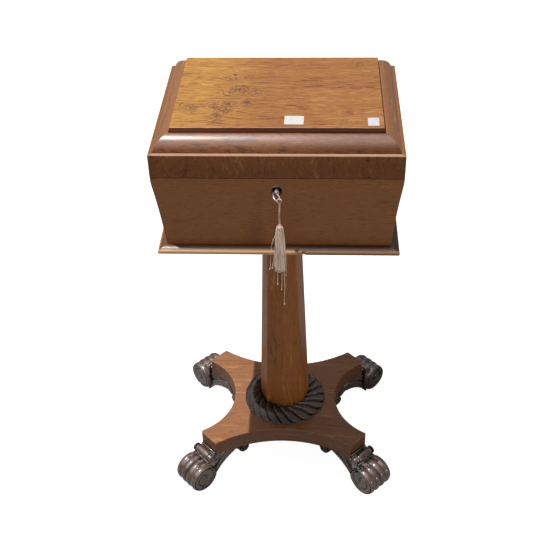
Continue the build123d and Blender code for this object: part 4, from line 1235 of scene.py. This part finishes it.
class TEAPOY_OT_tassel(bpy.types.Operator):
    """Builds the silk tassel: loop, knot, cord, bound head, skirt and its loose threads"""

    bl_idname = "teapoy.tassel"
    bl_label = "Tassel"

    def execute(self, context):
        tones = context.scene.teapoy_silk
        silk = finish("spun_silk", spun_silk, tuple(tones.silk), tuple(tones.shade))
        self.loop(silk)
        cord = self.cord(silk)
        head = self.head(silk)
        self.skirt(silk, tones.threads)
        self.loose_threads(silk)
        return {"FINISHED"}

    def loop(self, silk):
        """Two strands round the bow of the key, gathered by a knot."""
        shells = []
        for offset, wide, phase in ((-0.75, 3.6, 0.0), (0.75, 3.9, 0.3)):
            path = []
            for a in turns(40):
                pull = 1.0 if sin(a) > -0.5 else 1.0 - 0.55 * (-sin(a) - 0.5) * 2
                y = TIE_Y + offset * (0.7 + 0.3 * sin(a + phase))
                path.append((TIE_X + wide * cos(a) * pull, y, TIE_Z + wide * sin(a)))
            shells.append(ring_strand(path, 0.55, 8))
        knot = []
        for k in range(61):
            a = 2 * pi * k / 20
            knot.append(round_tie(0.9 + 0.2 * sin(3 * a), a, TIE_Z - 6.9 + 0.055 * k + 0.3 * sin(2 * a)))
        shells.append(strand(knot, 0.65, 8))
        piece("tassel_loop_knotted", join(*shells), silk, "tassel_hanger", ("tassel_loop",), sharp=60)

    def cord(self, silk):
        """The cord, one smooth hanging line."""
        curve = bpy.data.curves.new("tassel_cord_hanging", "CURVE")
        curve.dimensions = "3D"
        spline = curve.splines.new("NURBS")
        spline.points.add(len(CORD_ROUTE) - 1)
        for point, place in zip(spline.points, CORD_ROUTE):
            point.co = (*(c * MM for c in place), 1.0)
        spline.order_u = 3
        spline.use_endpoint_u = True
        curve.bevel_depth = CORD_RADIUS
        curve.bevel_resolution = 4
        curve.use_fill_caps = True
        curve.materials.append(silk)
        made = new_object("tassel_cord_hanging", curve)
        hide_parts("tassel_cord")
        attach(made, "tassel")
        return made

    def head(self, silk):
        """Bound head: strands laid over a small mould and tied in at the neck."""
        ribs, rings = 24, []
        for radius, z in smooth_line(HEAD_SECTION, 28):
            ring = []
            for a in turns(96):
                r = radius * (1 - 0.07 * abs(sin(ribs * a / 2 + 0.35 * (672 - z))))
                ring.append(round_tie(r, a, z))
            rings.append(ring)
        shells = [loft(rings)]
        for k in range(TIES):
            shells.append(ring_strand([round_tie(1.7, a, TIE_TOP - TIE_STEP * k) for a in turns(32)], 0.5, 6))
        return piece("tassel_head_bound", join(*shells), silk, "tassel", ("tassel",), sharp=60)

    def skirt(self, silk, threads):
        """Floss that hangs from the neck and spreads a little towards its uneven ends."""
        chance = Random(7)
        shells = []
        for k in range(threads):
            a = 2 * pi * k * GOLDEN_SHARE
            share = sqrt((k + 0.5) / threads)
            top, end = SKIRT_TOP_R * share, SKIRT_END_R * share * chance.uniform(0.88, 1.06)
            drop = SKIRT_END + chance.uniform(-3.0, 7.0)
            waver, phase = chance.uniform(0.1, 0.5), chance.uniform(0, 2 * pi)
            path = []
            for i in range(13):
                t = (i / 12) ** 1.6
                r = top + (end - top) * t**0.32
                swing = a + waver * sin(2.2 * t + phase) * 0.18 * t
                path.append(round_tie(r, swing, SKIRT_TOP + 0.5 + (drop - SKIRT_TOP) * t))
            shells.append(strand(path, chance.uniform(0.40, 0.62), 5))
        piece("tassel_skirt", join(*shells), silk, "tassel", sharp=80)

    def loose_threads(self, silk):
        """Finer threads that have worked loose, each ending in a tiny knot."""
        shells = []
        for route in LOOSE_ROUTES:
            path = smooth_line(route, 20)
            knot = []
            for i in range(21):
                a = 2 * pi * i / 10
                knot.append(tuple(path[-1] + Vector((0.6 * cos(a), 0.6 * sin(a), -0.11 * i))))
            shells += [strand(path, 0.45, 5), strand(knot, 0.55, 5)]
        piece("tassel_loose_threads", join(*shells), silk, "tassel", sharp=80)


# ---------------------------------------------------------------- inside of the case
class TEAPOY_OT_interior(bpy.types.Operator):
    """Finishes the fitted inside: partitions, decks, tea caddies and glass mixing bowls"""

    bl_idname = "teapoy.interior"
    bl_label = "Inside"

    def execute(self, context):
        paint(wood("case", "Y"), "partition_left", "partition_right")
        paint(wood("case", "X"), "cross_partition", "bowl_deck_left", "bowl_deck_right")
        paint(wood("case", "X"), "caddy_front", "caddy_back", "caddy_lid_front", "caddy_lid_back")
        paint(carved(), "caddy_knob_front", "caddy_knob_back")
        paint(finish("cut_lead_crystal", cut_glass), "mixing_bowl_left", "mixing_bowl_right")
        return {"FINISHED"}


# ---------------------------------------------------------------- camera, lamps, floor
CAMERA_AT = (0.06437, -1.41816, 1.55364)
CAMERA_TURN = (-3.32, -37.96, -1.52)  # yaw, pitch and roll in degrees
CAMERA_LENS, SENSOR = 62.29, 36.0  # mm
CAMERA_SHIFT = (0.00325, -0.0127)
OVERHEAD_GLOW = (-0.35, -0.1, 0.93)  # direction of the bright area that gloss reflects
FLOOR_HALF, FLOOR_STEPS, FLOOR_LEVEL = 6.0, 24, -0.0002  # metres
FLOOR_GREY, FLOOR_GLOW = (0.42, 0.42, 0.42, 1), 0.96

# Each lamp's name, share of the overhead strength, breadth in degrees and direction of travel
LAMPS = (
    ("overhead_lamp", 1.0, 0.6, (0.256, 0.028, -0.966)),
    ("side_window", 0.14, 12.0, (-0.80, 0.58, -0.14)),  # a weak light from the right, nearly level
)


class TEAPOY_OT_stage(bpy.types.Operator):
    """Sets up the camera, the lamps, the pale floor and the plain background"""

    bl_idname = "teapoy.stage"
    bl_label = "Stage"

    def execute(self, context):
        settings = context.scene.teapoy_stage
        self.camera(context)
        self.world(context, settings.fill)
        self.lamps(settings.sun)
        self.floor()
        context.scene.view_settings.view_transform = "Standard"
        return {"FINISHED"}

    def camera(self, context):
        yaw, pitch, roll = (radians(v) for v in CAMERA_TURN)
        forward = Vector((sin(yaw) * cos(pitch), cos(yaw) * cos(pitch), sin(pitch)))
        level = Vector((cos(yaw), -sin(yaw), 0.0))
        upright = level.cross(forward)
        right = level * cos(roll) + upright * sin(roll)
        up = upright * cos(roll) - level * sin(roll)
        data = bpy.data.cameras.new("camera")
        data.lens, data.sensor_width = CAMERA_LENS, SENSOR
        data.shift_x, data.shift_y = CAMERA_SHIFT
        camera = context.scene.camera = new_object("camera", data)
        turn = Matrix((right, up, -forward)).transposed().to_4x4()
        camera.matrix_world = Matrix.Translation(CAMERA_AT) @ turn

    def world(self, context, fill):
        """White to the camera and to glass. Everything else is lit by a dim fill, stronger from the
        left, and gloss reflects a dark room with one broad bright area overhead."""
        world = bpy.data.worlds.new("studio")
        world.use_nodes = True
        t = Shading(world.node_tree)
        ray = t.add("ShaderNodeLightPath").outputs
        way = t.add("ShaderNodeTexCoord").outputs["Generated"]
        toward = t.add("ShaderNodeVectorMath", {"operation": "DOT_PRODUCT", 0: way, 1: OVERHEAD_GLOW}).outputs["Value"]
        dim = t.math("MULTIPLY", t.span(t.axis(way, "X"), -1.0, 1.0, 2.4, 0.2), fill)
        dark_room = t.span(t.axis(way, "Z"), 0.0, 1.0, 0.12, 0.8)
        gloss = t.math("ADD", dark_room, t.span(toward, 0.55, 0.97, 0.0, 2.4, kind="SMOOTHSTEP"))
        lit = t.mix(ray["Is Glossy Ray"], dim, gloss)
        seen = t.math("MAXIMUM", ray["Is Camera Ray"], ray["Is Transmission Ray"])
        light = t.add("ShaderNodeBackground", {"Color": (1, 1, 1, 1), "Strength": t.mix(seen, lit, 1.0)})
        t.add("ShaderNodeOutputWorld", {"Surface": light.outputs[0]})
        context.scene.world = world

    def lamps(self, strength):
        for name, share, breadth, travel in LAMPS:
            data = bpy.data.lights.new(name, "SUN")
            data.energy, data.angle = share * strength, radians(breadth)
            lamp = new_object(name, data)
            lamp.rotation_mode = "QUATERNION"
            lamp.rotation_quaternion = Vector(travel).to_track_quat("-Z", "Y")

    def floor(self):
        """A wide, level, pale floor, which looks nearly white and keeps a faint shadow."""
        steps = [(-1 + 2 * k / FLOOR_STEPS) * FLOOR_HALF for k in range(FLOOR_STEPS + 1)]
        verts, faces = loft([[(x, y, FLOOR_LEVEL) for x in steps] for y in steps], closed=False, caps=False)
        mesh = new_mesh("studio_floor", verts, faces)
        material, t = new_material("matt_painted_floor")
        matt = t.add("ShaderNodeBsdfDiffuse", {"Color": FLOOR_GREY})
        ray = t.add("ShaderNodeLightPath").outputs
        glow = t.add("ShaderNodeEmission", {"Strength": t.math("MULTIPLY", ray["Is Camera Ray"], FLOOR_GLOW)})
        both = t.add("ShaderNodeAddShader", {0: matt.outputs[0], 1: glow.outputs[0]})
        t.add("ShaderNodeOutputMaterial", {"Surface": both.outputs[0]})
        mesh.materials.append(material)
        ground = new_object("studio_floor", mesh)


# ---------------------------------------------------------------- panel and registration
OPERATORS = (
    TEAPOY_OT_stage,
    TEAPOY_OT_tassel,
    TEAPOY_OT_lid,
    TEAPOY_OT_case,
    TEAPOY_OT_pillar,
    TEAPOY_OT_collar,
    TEAPOY_OT_platform,
    TEAPOY_OT_feet,
    TEAPOY_OT_lock,
    TEAPOY_OT_key,
    TEAPOY_OT_hinges,
    TEAPOY_OT_interior,
)
SETTINGS = {
    "teapoy_wood": TeapoyWoodSettings,
    "teapoy_carving": TeapoyCarvingSettings,
    "teapoy_silk": TeapoySilkSettings,
    "teapoy_stage": TeapoyStageSettings,
}


class TEAPOY_PT_panel(bpy.types.Panel):
    """Lists the teapoy's settings and the buttons that build its pieces"""

    bl_idname = "TEAPOY_PT_panel"
    bl_label = "Teapoy"
    bl_space_type = "VIEW_3D"
    bl_region_type = "UI"
    bl_category = "Teapoy"

    def draw(self, context):
        layout = self.layout
        for name, group in SETTINGS.items():
            box = layout.box()
            for setting in group.__annotations__:
                box.prop(getattr(context.scene, name), setting)
        for operator in OPERATORS:
            layout.operator(operator.bl_idname)


def register():
    for group in SETTINGS.values():
        bpy.utils.register_class(group)
    for operator in OPERATORS:
        bpy.utils.register_class(operator)
    bpy.utils.register_class(TEAPOY_PT_panel)
    for name, group in SETTINGS.items():
        setattr(bpy.types.Scene, name, bpy.props.PointerProperty(type=group))


def unregister():
    for name in SETTINGS:
        delattr(bpy.types.Scene, name)
    bpy.utils.unregister_class(TEAPOY_PT_panel)
    for operator in reversed(OPERATORS):
        bpy.utils.unregister_class(operator)
    for group in reversed(list(SETTINGS.values())):
        bpy.utils.unregister_class(group)


def main():
    register()
    for operator in OPERATORS:
        group, name = operator.bl_idname.split(".")
        getattr(getattr(bpy.ops, group), name)()


if __name__ == "__main__":
    main()
